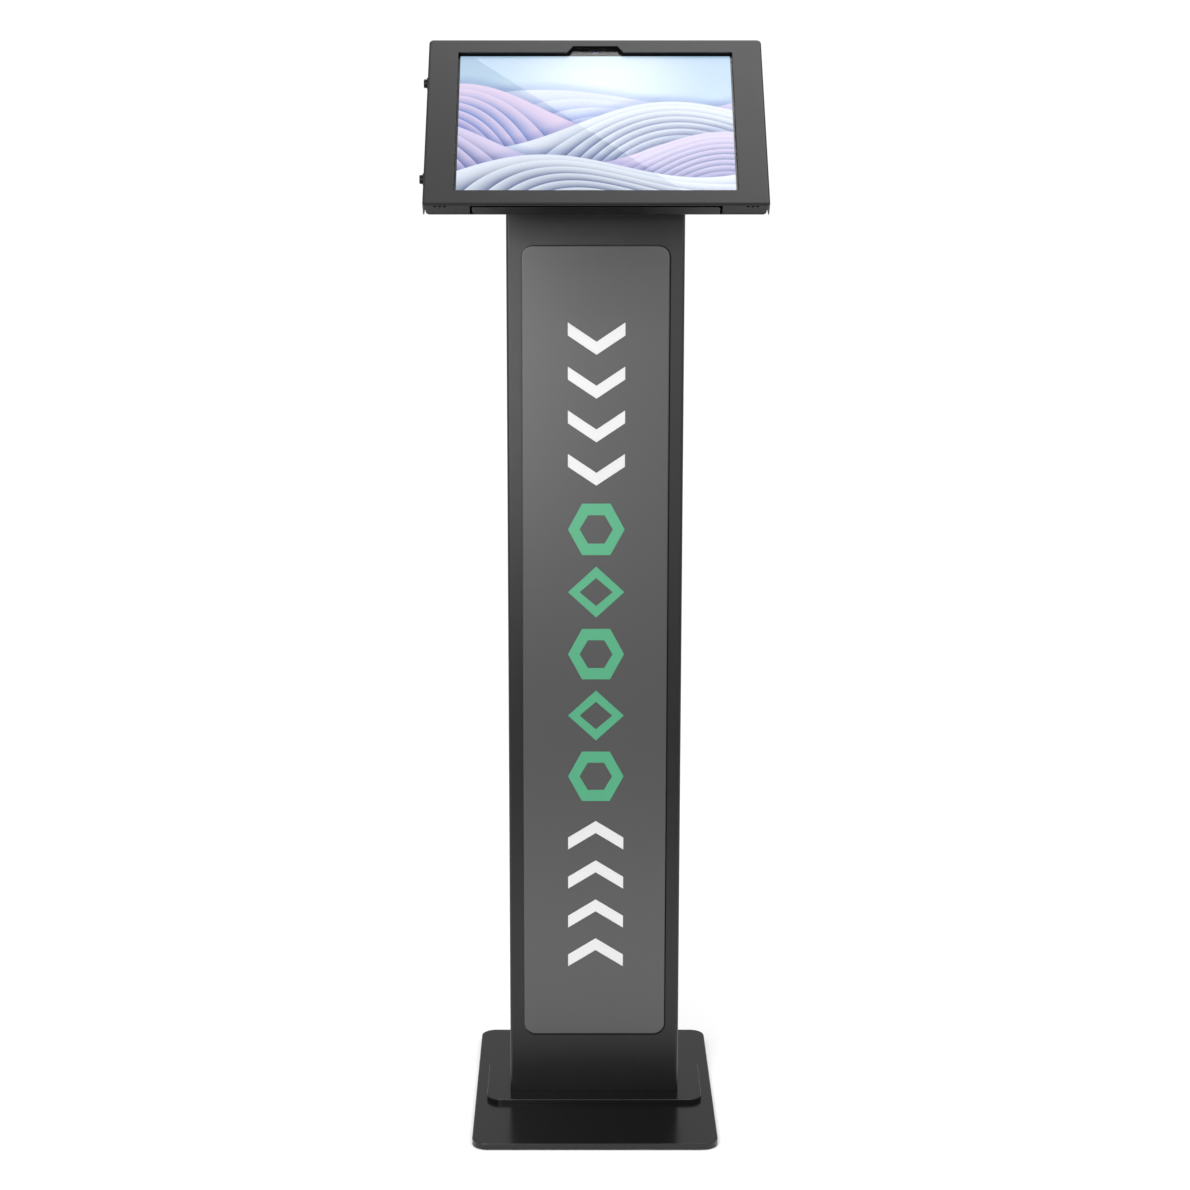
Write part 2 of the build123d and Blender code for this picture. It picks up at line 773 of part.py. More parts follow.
# Hinge with interleaved knuckles: the tray's leaf has the odd ones
knuckle_pitch = hinge_length / hinge_knuckles
knuckle_starts = [
    -hinge_length / 2 + number * knuckle_pitch for number in range(hinge_knuckles)
]
knuckle_length = knuckle_pitch - knuckle_gap
leaf_cutback = hinge_x - knuckle_radius - knuckle_clearance
cover_leaf_x = hinge_x + knuckle_radius - leaf_sheet
cover_leaf_back = hinge_depth - knuckle_radius - knuckle_clearance
hinge_bottom = slope_plane(-hinge_length / 2)


def knuckle(start, low, high):
    """One knuckle and the strip of leaf that runs into it."""
    plane = slope_plane(start)
    discs(plane, [(hinge_x, hinge_depth)], knuckle_radius, knuckle_length)
    block(plane, low, high, knuckle_length)


with BuildPart() as hinge_tray_leaf:
    block(
        hinge_bottom, (leaf_inner, rim_back_depth), (leaf_cutback, rim_back_depth + leaf_sheet),
        hinge_length - knuckle_gap,
    )
    for start in knuckle_starts[::2]:
        knuckle(start, (leaf_inner, rim_back_depth), (hinge_x, rim_back_depth + leaf_sheet))
    discs(
        hinge_bottom, [(hinge_x, hinge_depth)], pin_radius + running_clearance,
        hinge_length, mode=Mode.SUBTRACT,
    )
hinge_tray_leaf.part.label = "hinge_tray_leaf"
export_step(hinge_tray_leaf.part, "parts/hinge_tray_leaf.step")

with BuildPart() as hinge_cover_leaf:
    cover_leaf_outer = cover_leaf_x + leaf_sheet
    block(
        hinge_bottom, (cover_leaf_x, leaf_reach_depth), (cover_leaf_outer, cover_leaf_back),
        hinge_length - knuckle_gap,
    )
    for start in knuckle_starts[1::2]:
        knuckle(start, (cover_leaf_x, leaf_reach_depth), (cover_leaf_outer, hinge_depth))
    discs(
        hinge_bottom, [(hinge_x, hinge_depth)], pin_radius + running_clearance,
        hinge_length, mode=Mode.SUBTRACT,
    )
hinge_cover_leaf.part.label = "hinge_cover_leaf"
export_step(hinge_cover_leaf.part, "parts/hinge_cover_leaf.step")

with BuildPart() as hinge_pin:
    discs(hinge_bottom, [(hinge_x, hinge_depth)], pin_radius, hinge_length - knuckle_gap)
hinge_pin.part.label = "hinge_pin"
export_step(hinge_pin.part, "parts/hinge_pin.step")

# Security screws: each clamps the cover's left flange against a threaded bush
washer_face = -cover_half - body_gap
lock_face = washer_face - washer_thickness

with BuildPart() as lock_bushes:
    bush_outer = side_plane(-cover_half + cover_sheet + bush_gap)
    neck = side_plane(-tray_half)
    discs(bush_outer, lock_hole_places, bush_radius, tray_side_gap - bush_gap)
    discs(neck, lock_hole_places, bush_neck_radius, wall_sheet + bush_inner_length)
    discs(
        bush_outer, lock_hole_places, lock_radius + running_clearance,
        tray_side_gap + wall_sheet + bush_inner_length, mode=Mode.SUBTRACT,
    )
lock_bushes.part.label = "lock_bushes"
export_step(lock_bushes.part, "parts/lock_bushes.step")


def security_screw(u):
    """Cylindrical head with a pinned hexagon socket, and a plain shank."""
    place = [(u, -lock_depth)]
    with BuildPart() as screw:
        discs(side_plane(lock_face), place, lock_head_radius, -lock_head_height)
        fillet(screw.faces().sort_by(Axis.X)[0].edges(), lock_head_round)
        discs(side_plane(lock_face), place, lock_radius, lock_length)
        with BuildSketch(side_plane(lock_face - lock_head_height)):
            with Locations(*place):
                RegularPolygon(lock_socket_radius, 6)
                Circle(lock_socket_pin_radius, mode=Mode.SUBTRACT)
        extrude(amount=lock_socket_depth, mode=Mode.SUBTRACT)
    return screw.part


def security_washer(u):
    """Flat washer between the screw's head and the cover's flange."""
    with BuildPart() as washer:
        with BuildSketch(side_plane(lock_face)):
            with Locations((u, -lock_depth)):
                Circle(washer_radius)
                Circle(lock_radius + running_clearance, mode=Mode.SUBTRACT)
        extrude(amount=washer_thickness)
    return washer.part


for name, u in zip(("upper", "lower"), lock_places):
    screw = security_screw(u)
    screw.label = "security_screw_" + name
    export_step(screw, "parts/security_screw_" + name + ".step")
    washer = security_washer(u)
    washer.label = "screw_washer_" + name
    export_step(washer, "parts/screw_washer_" + name + ".step")

# Tablet: an open casing, with the parts that fill it from the back forwards
cavity_width = tablet_width - 2 * casing_wall
cavity_height = tablet_height - 2 * casing_wall
cavity_floor_depth = tablet_back_depth - casing_floor
tablet_end = tablet_height / 2
camera_v = (display_height / 2 + tablet_end) / 2
button_depth = (glass_back_depth + tablet_back_depth) / 2
slot_places = (
    (tablet_width / 2 - power_inset, power_length),
    (tablet_width / 2 - rocker_inset, rocker_length),
)
edge_plane = slope_plane(tablet_u + tablet_end)

with BuildPart() as tablet_casing:
    with BuildSketch(head_plane(tablet_back_depth, u=tablet_u)):
        RectangleRounded(tablet_width, tablet_height, tablet_corner)
    extrude(amount=tablet_back_depth - glass_back_depth)
    fillet(tablet_casing.faces().sort_by(outward_axis)[0].edges(), tablet_back_round)
    with BuildSketch(head_plane(cavity_floor_depth, u=tablet_u)):
        RectangleRounded(cavity_width, cavity_height, tablet_corner - casing_wall)
    extrude(amount=cavity_floor_depth - glass_back_depth, mode=Mode.SUBTRACT)
    with BuildSketch(edge_plane):
        for place, length in slot_places:
            with Locations((place, button_depth)):
                Rectangle(length + 2 * button_clearance, button_width + 2 * button_clearance)
    extrude(amount=-casing_wall, mode=Mode.SUBTRACT)
tablet_casing.part.label = "tablet_casing"
export_step(tablet_casing.part, "parts/tablet_casing.step")

with BuildPart() as tablet_glass:
    with BuildSketch(head_plane(glass_back_depth, u=tablet_u)):
        RectangleRounded(
            tablet_width - 2 * glass_inset, tablet_height - 2 * glass_inset,
            tablet_corner - glass_inset,
        )
    extrude(amount=glass_thickness)
    fillet(tablet_glass.faces().sort_by(outward_axis)[-1].edges(), glass_edge_round)
tablet_glass.part.label = "tablet_glass"
export_step(tablet_glass.part, "parts/tablet_glass.step")

with BuildPart() as tablet_display:
    with BuildSketch(head_plane(glass_back_depth + display_thickness, u=tablet_u)):
        Rectangle(display_width, display_height)
    extrude(amount=display_thickness)
tablet_display.part.label = "tablet_display"
export_step(tablet_display.part, "parts/tablet_display.step")

with BuildPart() as screen_mask:
    with BuildSketch(head_plane(glass_back_depth + mask_thickness, u=tablet_u)):
        RectangleRounded(cavity_width, cavity_height, tablet_corner - casing_wall)
        Rectangle(display_width, display_height, mode=Mode.SUBTRACT)
        with Locations((0, camera_v)):
            Circle(camera_radius + running_clearance, mode=Mode.SUBTRACT)
    extrude(amount=mask_thickness)
screen_mask.part.label = "screen_mask"
export_step(screen_mask.part, "parts/screen_mask.step")

board_front_depth = cavity_floor_depth - board_thickness
board_top = cavity_height / 2 - button_inside + casing_wall - body_gap - button_stand
board_v = board_top - board_height / 2

with BuildPart() as tablet_camera:
    discs(
        head_plane(board_front_depth, u=tablet_u), [(0, camera_v)], camera_radius,
        board_front_depth - glass_back_depth,
    )
tablet_camera.part.label = "tablet_camera"
export_step(tablet_camera.part, "parts/tablet_camera.step")

with BuildPart() as tablet_board:
    with BuildSketch(head_plane(cavity_floor_depth, u=tablet_u)):
        with Locations((0, board_v)):
            Rectangle(cavity_width - 2 * board_side_gap, board_height)
    extrude(amount=board_thickness)
tablet_board.part.label = "tablet_board"
export_step(tablet_board.part, "parts/tablet_board.step")

battery_top = board_v - board_height / 2 - battery_board_gap
battery_bottom = battery_end_gap - cavity_height / 2

with BuildPart() as tablet_battery:
    with BuildSketch(head_plane(cavity_floor_depth, u=tablet_u)):
        with Locations((0, (battery_top + battery_bottom) / 2)):
            RectangleRounded(
                cavity_width - 2 * battery_side_gap, battery_top - battery_bottom, casing_wall
            )
    extrude(amount=battery_thickness)
tablet_battery.part.label = "tablet_battery"
export_step(tablet_battery.part, "parts/tablet_battery.step")


def edge_button(place, length):
    """A rounded key that stands out of the tablet's upper edge."""
    with BuildPart() as key:
        with BuildSketch(edge_plane.offset(button_stand)):
            with Locations((place, button_depth)):
                SlotOverall(length, button_width)
        extrude(amount=-(button_stand + button_inside))
    return key.part


for name, (place, length) in zip(("power_button", "volume_rocker"), slot_places):
    key = edge_button(place, length)
    key.label = name
    export_step(key, "parts/" + name + ".step")

# Corner blocks stand on the tray's rim and keep the tablet from sliding
block_outer = tablet_width / 2 + block_end_gap
block_inner = block_outer - block_reach
rim_top_inner = tray_top - wall_sheet
rim_bottom_inner = tray_bottom + rim_sheet
well_top = tablet_u + well_length / 2
well_bottom = tablet_u - well_length / 2

with BuildPart() as corner_blocks:
    for side in (-1, 1):
        for low, high in ((well_top, rim_top_inner), (rim_bottom_inner, well_bottom)):
            block(
                head_plane(rim_front_depth),
                (min(side * block_inner, side * block_outer), low),
                (max(side * block_inner, side * block_outer), high),
                rim_front_depth - glass_back_depth,
            )
    with BuildSketch(head_plane(rim_front_depth, u=tablet_u)):
        Rectangle(tablet_width + 2 * block_clearance, tablet_height + 2 * block_clearance)
    extrude(amount=rim_front_depth, mode=Mode.SUBTRACT)
corner_blocks.part.label = "corner_blocks"
export_step(corner_blocks.part, "parts/corner_blocks.step")

with BuildPart() as foam_strips:
    for low in (well_top, well_bottom - foam_width):
        block(
            head_plane(rim_front_depth), (foam_end_gap - tablet_width / 2, low),
            (tablet_width / 2 - foam_end_gap, low + foam_width), foam_thickness,
        )
foam_strips.part.label = "foam_strips"
export_step(foam_strips.part, "parts/foam_strips.step")
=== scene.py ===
# %% [markdown]
# # A tablet kiosk stand, dressed for its picture
# The stand comes in as a finished CAD model: a flat steel base, a folded column with a printed
# panel on its front, and a head that locks a tablet behind a sheet-metal cover. The model is never
# moved or changed here. We give every piece its finish, print the panel, light the screen, and set
# up a small studio with a camera. Blender works in metres, and so does the loaded model.

from math import cos, pi, radians, sin

import bpy
from mathutils import Matrix, Vector


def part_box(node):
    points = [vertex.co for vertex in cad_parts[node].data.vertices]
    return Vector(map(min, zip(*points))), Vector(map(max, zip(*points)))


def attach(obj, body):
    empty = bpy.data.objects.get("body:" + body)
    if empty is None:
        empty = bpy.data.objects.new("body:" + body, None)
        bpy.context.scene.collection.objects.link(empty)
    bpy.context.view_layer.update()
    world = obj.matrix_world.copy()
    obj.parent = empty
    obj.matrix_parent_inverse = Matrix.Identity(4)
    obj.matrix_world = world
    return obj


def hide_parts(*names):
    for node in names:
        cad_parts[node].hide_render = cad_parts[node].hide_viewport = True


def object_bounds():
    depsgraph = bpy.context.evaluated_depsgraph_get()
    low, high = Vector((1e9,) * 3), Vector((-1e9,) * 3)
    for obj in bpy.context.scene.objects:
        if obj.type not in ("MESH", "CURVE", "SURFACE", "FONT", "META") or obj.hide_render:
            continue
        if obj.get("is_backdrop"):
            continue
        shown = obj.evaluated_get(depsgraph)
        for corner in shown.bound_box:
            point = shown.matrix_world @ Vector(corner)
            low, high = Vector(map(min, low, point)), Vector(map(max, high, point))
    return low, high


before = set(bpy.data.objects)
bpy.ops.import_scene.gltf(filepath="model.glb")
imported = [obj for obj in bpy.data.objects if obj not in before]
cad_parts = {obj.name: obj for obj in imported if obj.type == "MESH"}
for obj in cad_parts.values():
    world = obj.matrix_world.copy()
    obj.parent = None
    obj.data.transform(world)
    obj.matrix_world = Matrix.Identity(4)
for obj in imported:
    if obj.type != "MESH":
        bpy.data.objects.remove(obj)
cad_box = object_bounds()
print("pieces loaded:", len(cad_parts))
print("stand height:", round(cad_box[1].z, 4), "m")

# %% [markdown]
# ## The camera
# The stand is seen from straight in front, from about the height of the screen, through a
# long lens that looks down by almost 12 degrees. A short lens close by would make the base look
# too large, so the lens and the distance both have to be right. The camera looks along -Z of its
# own axes, so a turn of 90 degrees about X makes it look level along +Y, and we take the downward
# tilt off that. The frame is square, and the sensor width is Blender's usual 36 mm.

# %% Camera
FRAME_PIXELS = 1190
LENS_PIXELS = 2459.4
SENSOR_WIDTH_MM = 36.0
CAMERA_PLACE = (-0.0213, -2.5199, 1.0687)
CAMERA_TILT_DOWN = 11.61
CENTRE_PIXEL_X = 574.35

lens = bpy.data.cameras.new("front_camera")
lens.sensor_width = SENSOR_WIDTH_MM
lens.lens = SENSOR_WIDTH_MM * LENS_PIXELS / FRAME_PIXELS
lens.shift_x = (FRAME_PIXELS / 2 - CENTRE_PIXEL_X) / FRAME_PIXELS
camera = bpy.data.objects.new("front_camera", lens)
camera.location = CAMERA_PLACE
camera.rotation_euler = (radians(90 - CAMERA_TILT_DOWN), 0, 0)
bpy.context.scene.collection.objects.link(camera)
bpy.context.scene.camera = camera
print("lens:", round(lens.lens, 2), "mm, shift:", round(lens.shift_x, 4))

# %% [markdown]
# ## The floor
# A studio floor for a black object is a wide sheet of matt white, with no edge in sight. One large
# round disc does it: its rim is far away and the sky behind it is as pale as the floor is, so the
# line between them disappears. A small unevenness in its whiteness keeps it from looking computed.
# Away from the stand the sheet glows faintly. That is painted light, standing in for lamps on the
# far floor, so that the floor stays white up to the horizon.

# %% Ways to add nodes
def add_node(tree, kind, inputs=None, **options):
    """Adds a shader node, sets its options, and fills its sockets with numbers or links."""
    made = tree.nodes.new("ShaderNode" + kind)
    for option, value in options.items():
        setattr(made, option, value)
    for socket, value in (inputs or {}).items():
        if isinstance(value, bpy.types.NodeSocket):
            tree.links.new(value, made.inputs[socket])
        else:
            made.inputs[socket].default_value = value
    return made


def sum_of(tree, operation, *values):
    """A Math node on numbers or links, and its result."""
    return add_node(tree, "Math", dict(enumerate(values)), operation=operation).outputs[0]


def between(tree, amount, low, high):
    """Turns an amount from 0 to 1 into a value from low to high."""
    return add_node(
        tree, "MapRange", {"Value": amount, "To Min": low, "To Max": high}
    ).outputs[0]


def smooth_step(tree, value, low, high, top=1.0):
    """Rises smoothly from 0 to top while a value goes from low to high."""
    return add_node(
        tree,
        "MapRange",
        {"Value": value, "From Min": low, "From Max": high, "To Max": top},
        interpolation_type="SMOOTHSTEP",
    ).outputs[0]


def blend_colours(tree, amount, first, second):
    """Mixes two colours, or links, by an amount."""
    mixed = add_node(tree, "Mix", {0: amount, 6: first, 7: second}, data_type="RGBA")
    return mixed.outputs[2]


def grey(level):
    return (level, level, level, 1.0)


# %% Floor
FLOOR_RADIUS = 30.0
FLOOR_SIDES = 96
FLOOR_WHITE, FLOOR_DRIFT = 0.95, 0.01
FLOOR_CLOUDS_PER_METRE = 1.5
# Painted light: the floor's emission stands in for lamps that light it far from the stand.
FLOOR_PAINTED_LIGHT_FROM, FLOOR_PAINTED_LIGHT_FULL = 0.8, 5.0
FLOOR_PAINTED_LIGHT = 0.25


def floor_paint():
    """Matt white with a faint cloudiness, and painted light that grows with the distance."""
    paint = bpy.data.materials.new("floor_paint")
    paint.use_nodes = True
    tree = paint.node_tree
    shader = tree.nodes["Principled BSDF"]
    place = add_node(tree, "TexCoord").outputs["Object"]
    spots = {"Vector": place, "Scale": FLOOR_CLOUDS_PER_METRE}
    clouds = add_node(tree, "TexNoise", spots).outputs[0]
    low, high = grey(FLOOR_WHITE - FLOOR_DRIFT), grey(FLOOR_WHITE + FLOOR_DRIFT)
    tone = blend_colours(tree, clouds, low, high)
    tree.links.new(tone, shader.inputs["Base Color"])
    away = add_node(tree, "VectorMath", {0: place}, operation="LENGTH").outputs["Value"]
    glow = smooth_step(tree, away, FLOOR_PAINTED_LIGHT_FROM, FLOOR_PAINTED_LIGHT_FULL, FLOOR_PAINTED_LIGHT)
    tree.links.new(glow, shader.inputs["Emission Strength"])
    shader.inputs["Emission Color"].default_value = grey(1.0)
    shader.inputs["Roughness"].default_value = 1.0
    shader.inputs["Specular IOR Level"].default_value = 0.0
    return paint


bpy.ops.mesh.primitive_circle_add(vertices=FLOOR_SIDES, radius=FLOOR_RADIUS, fill_type="NGON")
floor = bpy.context.object
floor.name = "studio_floor"
floor.data.materials.append(floor_paint())
floor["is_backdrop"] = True
print("floor:", round(2 * FLOOR_RADIUS), "m across")

# %% [markdown]
# ## The light
# Black paint shows hardly any colour of its own: what we see of it is the room mirrored in it. So
# the room is what has to be right. The sky is a smooth room of three tones. In front and at the
# sides it is bright, which keeps the floor white. Behind the stand it is dim above the ground,
# because the base mirrors that part. Straight up it is bright again, because the sloping cover
# mirrors that. Colours are shown as they are, with the Standard view, so that white stays white.

# %% Sky
NEAR_GROUND = 1.02
FRONT_STEPS = ((0.0, 1.0), (0.5, 0.99), (0.54, 0.97), (0.88, 0.95), (0.97, 0.95))
BACK_STEPS = ((0.0, 1.0), (0.52, NEAR_GROUND), (0.56, 0.40), (0.78, 0.42), (0.93, 0.95))
FRONT_ENDS, BACK_BEGINS = -0.1, 0.5


def sky_tones(tree, height, steps):
    """A ramp of greys over the height of a direction, from 0 for down to 1 for up."""
    ramp = add_node(tree, "ValToRGB", {"Fac": height})
    elements = ramp.color_ramp.elements
    elements[0].position, elements[0].color = steps[0][0], grey(steps[0][1])
    elements[1].position, elements[1].color = steps[-1][0], grey(steps[-1][1])
    for position, level in steps[1:-1]:
        elements.new(position).color = grey(level)
    return ramp.outputs["Color"]


def make_sky():
    """A sky whose brightness depends on the height above the ground, and on front or back."""
    world = bpy.data.worlds.new("studio_sky")
    world.use_nodes = True
    tree = world.node_tree
    axes = add_node(tree, "SeparateXYZ", {0: add_node(tree, "TexCoord").outputs["Generated"]})
    height = add_node(
        tree, "MapRange", {"Value": axes.outputs["Z"], "From Min": -1.0, "From Max": 1.0}
    ).outputs[0]
    backwards = smooth_step(tree, axes.outputs["Y"], FRONT_ENDS, BACK_BEGINS)
    front = sky_tones(tree, height, FRONT_STEPS)
    back = sky_tones(tree, height, BACK_STEPS)
    tones = blend_colours(tree, backwards, front, back)
    tree.links.new(tones, tree.nodes["Background"].inputs["Color"])
    return world


bpy.context.scene.world = make_sky()
bpy.context.scene.view_settings.view_transform = "Standard"
print("sky:", bpy.context.scene.world.name)

# %% [markdown]
# ## Soft boxes
# A sky alone gives no edges to mirror. A soft box overhead, turned a little, sets a diagonal line
# of glare across the glass and makes the floor brightest around the stand. Three smaller ones stand
# in front, where the camera doesn't see them. They lay a broad sheen over the column, stronger at
# its top, at its foot and on the left. On the bends of the head they would draw bright lines, so
# light linking keeps them off its sheet metal. A light's power spreads over its face, so power =
# brightness times pi times area.

# %% Soft boxes
SOFT_BOXES = {
    # name: (place, point it faces, width, length, brightness)
    "overhead_box": ((0.43, 0.62, 3.0), (0.43, 0.62, 0.0), 2.0, 1.6, 2.3),
    "front_left_box": ((-0.36, -1.15, 0.68), (-0.36, 0.0, 0.68), 0.55, 0.46, 4.5),
    "left_high_box": ((-0.58, -1.20, 1.40), (-0.13, 0.0, 1.40), 0.60, 0.70, 9.5),
    "right_high_box": ((0.58, -1.20, 1.40), (0.13, 0.0, 1.40), 0.60, 0.70, 5.5),
}
OVERHEAD_TURN = radians(-32)


def hang_soft_box(name, place, target, width, length, brightness):
    """A rectangular area light whose face has the given brightness."""
    light = bpy.data.lights.new(name, "AREA")
    light.shape = "RECTANGLE"
    light.size, light.size_y = width, length
    light.energy = brightness * pi * width * length
    box = bpy.data.objects.new(name, light)
    bpy.context.scene.collection.objects.link(box)
    box.location = place
    box.rotation_euler = (Vector(target) - Vector(place)).to_track_quat("-Z", "Y").to_euler()
    box.visible_camera = False
    return box


def keep_off(box, *names):
    """Flags a soft box off some pieces, by leaving them out of its light linking."""
    flag = bpy.data.collections.new(box.name + "_flag")
    box.light_linking.receiver_collection = flag
    for name in names:
        flag.objects.link(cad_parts[name])
    for shaded in flag.collection_objects:
        shaded.light_linking.link_state = "EXCLUDE"


boxes = {name: hang_soft_box(name, *facts) for name, facts in SOFT_BOXES.items()}
boxes["overhead_box"].rotation_euler.z += OVERHEAD_TURN
for name, box in boxes.items():
    if name != "overhead_box":
        keep_off(box, "front_cover", "rear_tray", "window_gasket")
print("soft boxes:", ", ".join(f"{name} {box.data.energy:.0f} W" for name, box in boxes.items()))

# %% [markdown]
# ## A dark card
# Photographers lay a black card on the floor in front of a glossy black object, so that its front
# doesn't mirror white all the way up. Here the card is seen by reflections alone. It fades in away
# from the stand and out again, so that the column is darkest halfway up, where it mirrors the
# middle of the card.

# %% Dark card
CARD_HALF_WIDTH = 3.0
CARD_NEAR, CARD_FAR = -0.7, -2.4
CARD_FADE_IN = (-0.8, -1.1)
CARD_FADE_OUT = (-1.8, -2.3)
CARD_ABOVE_FLOOR = 0.002
CARD_BLACK = 0.01


def studio_sheet(name, corners, paint):
    """A flat sheet that belongs to the studio and that the camera doesn't see."""
    mesh = bpy.data.meshes.new(name)
    mesh.from_pydata(corners, [], [(0, 1, 2, 3)])
    mesh.materials.append(paint)
    sheet = bpy.data.objects.new(name, mesh)
    bpy.context.scene.collection.objects.link(sheet)
    sheet.visible_camera = False
    sheet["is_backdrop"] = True
    return sheet


def card_paint():
    """Clear near the stand, black further away, and clear again at the far end."""
    paint = bpy.data.materials.new("card_paint")
    paint.use_nodes = True
    tree = paint.node_tree
    tree.nodes.remove(tree.nodes["Principled BSDF"])
    axes = add_node(tree, "SeparateXYZ", {0: add_node(tree, "TexCoord").outputs["Object"]})
    fade_in = smooth_step(tree, axes.outputs["Y"], *CARD_FADE_IN)
    fade_out = smooth_step(tree, axes.outputs["Y"], *reversed(CARD_FADE_OUT))
    cover = sum_of(tree, "MULTIPLY", fade_in, fade_out)
    clear = add_node(tree, "BsdfTransparent").outputs[0]
    black = add_node(tree, "BsdfDiffuse", {"Color": grey(CARD_BLACK)}).outputs[0]
    mixed = add_node(tree, "MixShader", {0: cover, 1: clear, 2: black}).outputs[0]
    tree.links.new(mixed, tree.nodes["Material Output"].inputs["Surface"])
    return paint


def lay_card():
    across, near, far, up = CARD_HALF_WIDTH, CARD_NEAR, CARD_FAR, CARD_ABOVE_FLOOR
    corners = [(-across, near, up), (-across, far, up), (across, far, up), (across, near, up)]
    card = studio_sheet("dark_card", corners, card_paint())
    card.visible_diffuse = card.visible_shadow = card.visible_transmission = False
    return card


print("card:", lay_card().name)

# %% [markdown]
# ## A flag under the head
# The head hangs over the column and shades the top of it. The soft boxes in front shine in under
# its lip and wash that shade out. A photographer keeps such light off with a flag, a small black
# cloth on a stand. Ours hangs right below the lip, and the camera doesn't see it. It is so close
# to the column that its shadow is soft: dark at the lip, and gone a hand's width lower down.

# %% Flag
FLAG_HALF_WIDTH = 0.10
FLAG_FRONT = -0.150
FLAG_LOW, FLAG_HIGH = 0.914, 0.944
FLAG_BLACK = 0.002


def flag_cloth():
    """Black cloth that mirrors nothing."""
    cloth = bpy.data.materials.new("flag_cloth")
    cloth.use_nodes = True
    shader = cloth.node_tree.nodes["Principled BSDF"]
    shader.inputs["Base Color"].default_value = grey(FLAG_BLACK)
    shader.inputs["Roughness"].default_value = 1.0
    shader.inputs["Specular IOR Level"].default_value = 0.0
    return cloth


def hang_flag():
    across, y, low, high = FLAG_HALF_WIDTH, FLAG_FRONT, FLAG_LOW, FLAG_HIGH
    corners = [(-across, y, low), (across, y, low), (across, y, high), (-across, y, high)]
    return studio_sheet("lip_flag", corners, flag_cloth())


print("flag:", hang_flag().name)

# %% [markdown]
# ## Black powder coat
# The folded steel is powder coated: plastic powder is baked on, and it flows into a skin that is
# matt but not dead, with a fine orange peel of about a millimetre and a soft rounding of every cut
# edge. A flat black with one roughness looks like a hole in the picture. So the colour drifts a
# little, the roughness varies in patches, a bump gives the peel, and the Bevel node bends the
# light at the sheet's edges the way the thick coat does. It changes no mesh. The plates of the base
# and the tray have a coat that flowed out further: they mirror the column and the floor sharper.

# %% Powder coat
COAT_BLACK, COAT_DULLER = 0.0012, 0.0018
COAT_DRIFT_PER_METRE, COAT_PATCHES_PER_METRE = 14, 60
COAT_ROUGHNESS = (0.29, 0.37)
SMOOTH_COAT_ROUGHNESS = (0.17, 0.23)
PEEL_PER_METRE = 900
PEEL_HEIGHT = 0.00001
COAT_EDGE = 0.0003
EDGE_SAMPLES = 6


def new_finish(name):
    """A material, its node tree, its shader and the place on the piece."""
    finish = bpy.data.materials.new(name)
    finish.use_nodes = True
    tree = finish.node_tree
    shader = tree.nodes["Principled BSDF"]
    place = add_node(tree, "TexCoord").outputs["Object"]
    return finish, tree, shader, place


def noise(tree, place, per_metre, detail=2.0):
    """Noise with a size given as how many blots fit in a metre."""
    spots = {"Vector": place, "Scale": per_metre, "Detail": detail}
    return add_node(tree, "TexNoise", spots).outputs[0]


def set_bump(tree, shader, height, distance, edge=0.0):
    """Bumps a surface by a height pattern, and rounds its edges in the light."""
    inputs = {"Height": height, "Distance": distance, "Strength": 1.0}
    if edge > 0:
        rounding = add_node(tree, "Bevel", {"Radius": edge}, samples=EDGE_SAMPLES)
        inputs["Normal"] = rounding.outputs[0]
    bump = add_node(tree, "Bump", inputs)
    tree.links.new(bump.outputs[0], shader.inputs["Normal"])


def powder_coat(name, roughness):
    finish, tree, shader, place = new_finish(name)
    drift = noise(tree, place, COAT_DRIFT_PER_METRE)
    tone = blend_colours(tree, drift, grey(COAT_BLACK), grey(COAT_DULLER))
    tree.links.new(tone, shader.inputs["Base Color"])
    patches = noise(tree, place, COAT_PATCHES_PER_METRE, detail=4)
    tree.links.new(between(tree, patches, *roughness), shader.inputs["Roughness"])
    peel = noise(tree, place, PEEL_PER_METRE)
    set_bump(tree, shader, peel, PEEL_HEIGHT, edge=COAT_EDGE)
    return finish


def paint_nodes(finish, *names):
    """Puts a finish on the named pieces of the CAD model."""
    for name in names:
        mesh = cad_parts[name].data
        for slot in range(max(1, len(mesh.materials))):
            if mesh.materials:
                mesh.materials[slot] = finish
            else:
                mesh.materials.append(finish)
    print(finish.name, "on", ", ".join(names))


paint_nodes(
    powder_coat("black_powder_coat", COAT_ROUGHNESS),
    "column_shell",
    "rear_cover",
    "mounting_bracket",
    "front_cover",
)
paint_nodes(
    powder_coat("smooth_powder_coat", SMOOTH_COAT_ROUGHNESS),
    "base_plate",
    "foot_plate",
    "rear_tray",
)

# %% [markdown]
# ## Steel, zinc and black oxide
# The fasteners inside are plain steel with bright zinc, the hinge is brushed steel, and the screws
# in sight are blackened. Plated metal is never even: its roughness is cloudy, and drawing or
# rolling leaves fine lines along it. A noise stretched along one axis makes those lines.

# %% Metals
METALS = {
    # name: (colour, duller colour, roughness low, roughness high, stretch along X, Y, Z, edge)
    "zinc_plate": ((0.55, 0.56, 0.57), (0.42, 0.43, 0.45), 0.24, 0.42, (1, 1, 1), 0.0002),
    "brushed_steel": ((0.50, 0.50, 0.49), (0.38, 0.38, 0.38), 0.26, 0.40, (4, 1, 1), 0.0002),
    "black_oxide": ((0.018, 0.018, 0.020), (0.010, 0.010, 0.011), 0.28, 0.42, (1, 1, 1), 0.0003),
    "anodised_aluminium": ((0.42, 0.43, 0.45), (0.36, 0.37, 0.39), 0.30, 0.38, (1, 1, 1), 0.0003),
}
METAL_CLOUDS_PER_METRE = 120
METAL_GRAIN_PER_METRE = 1500
METAL_GRAIN_HEIGHT = 0.000004


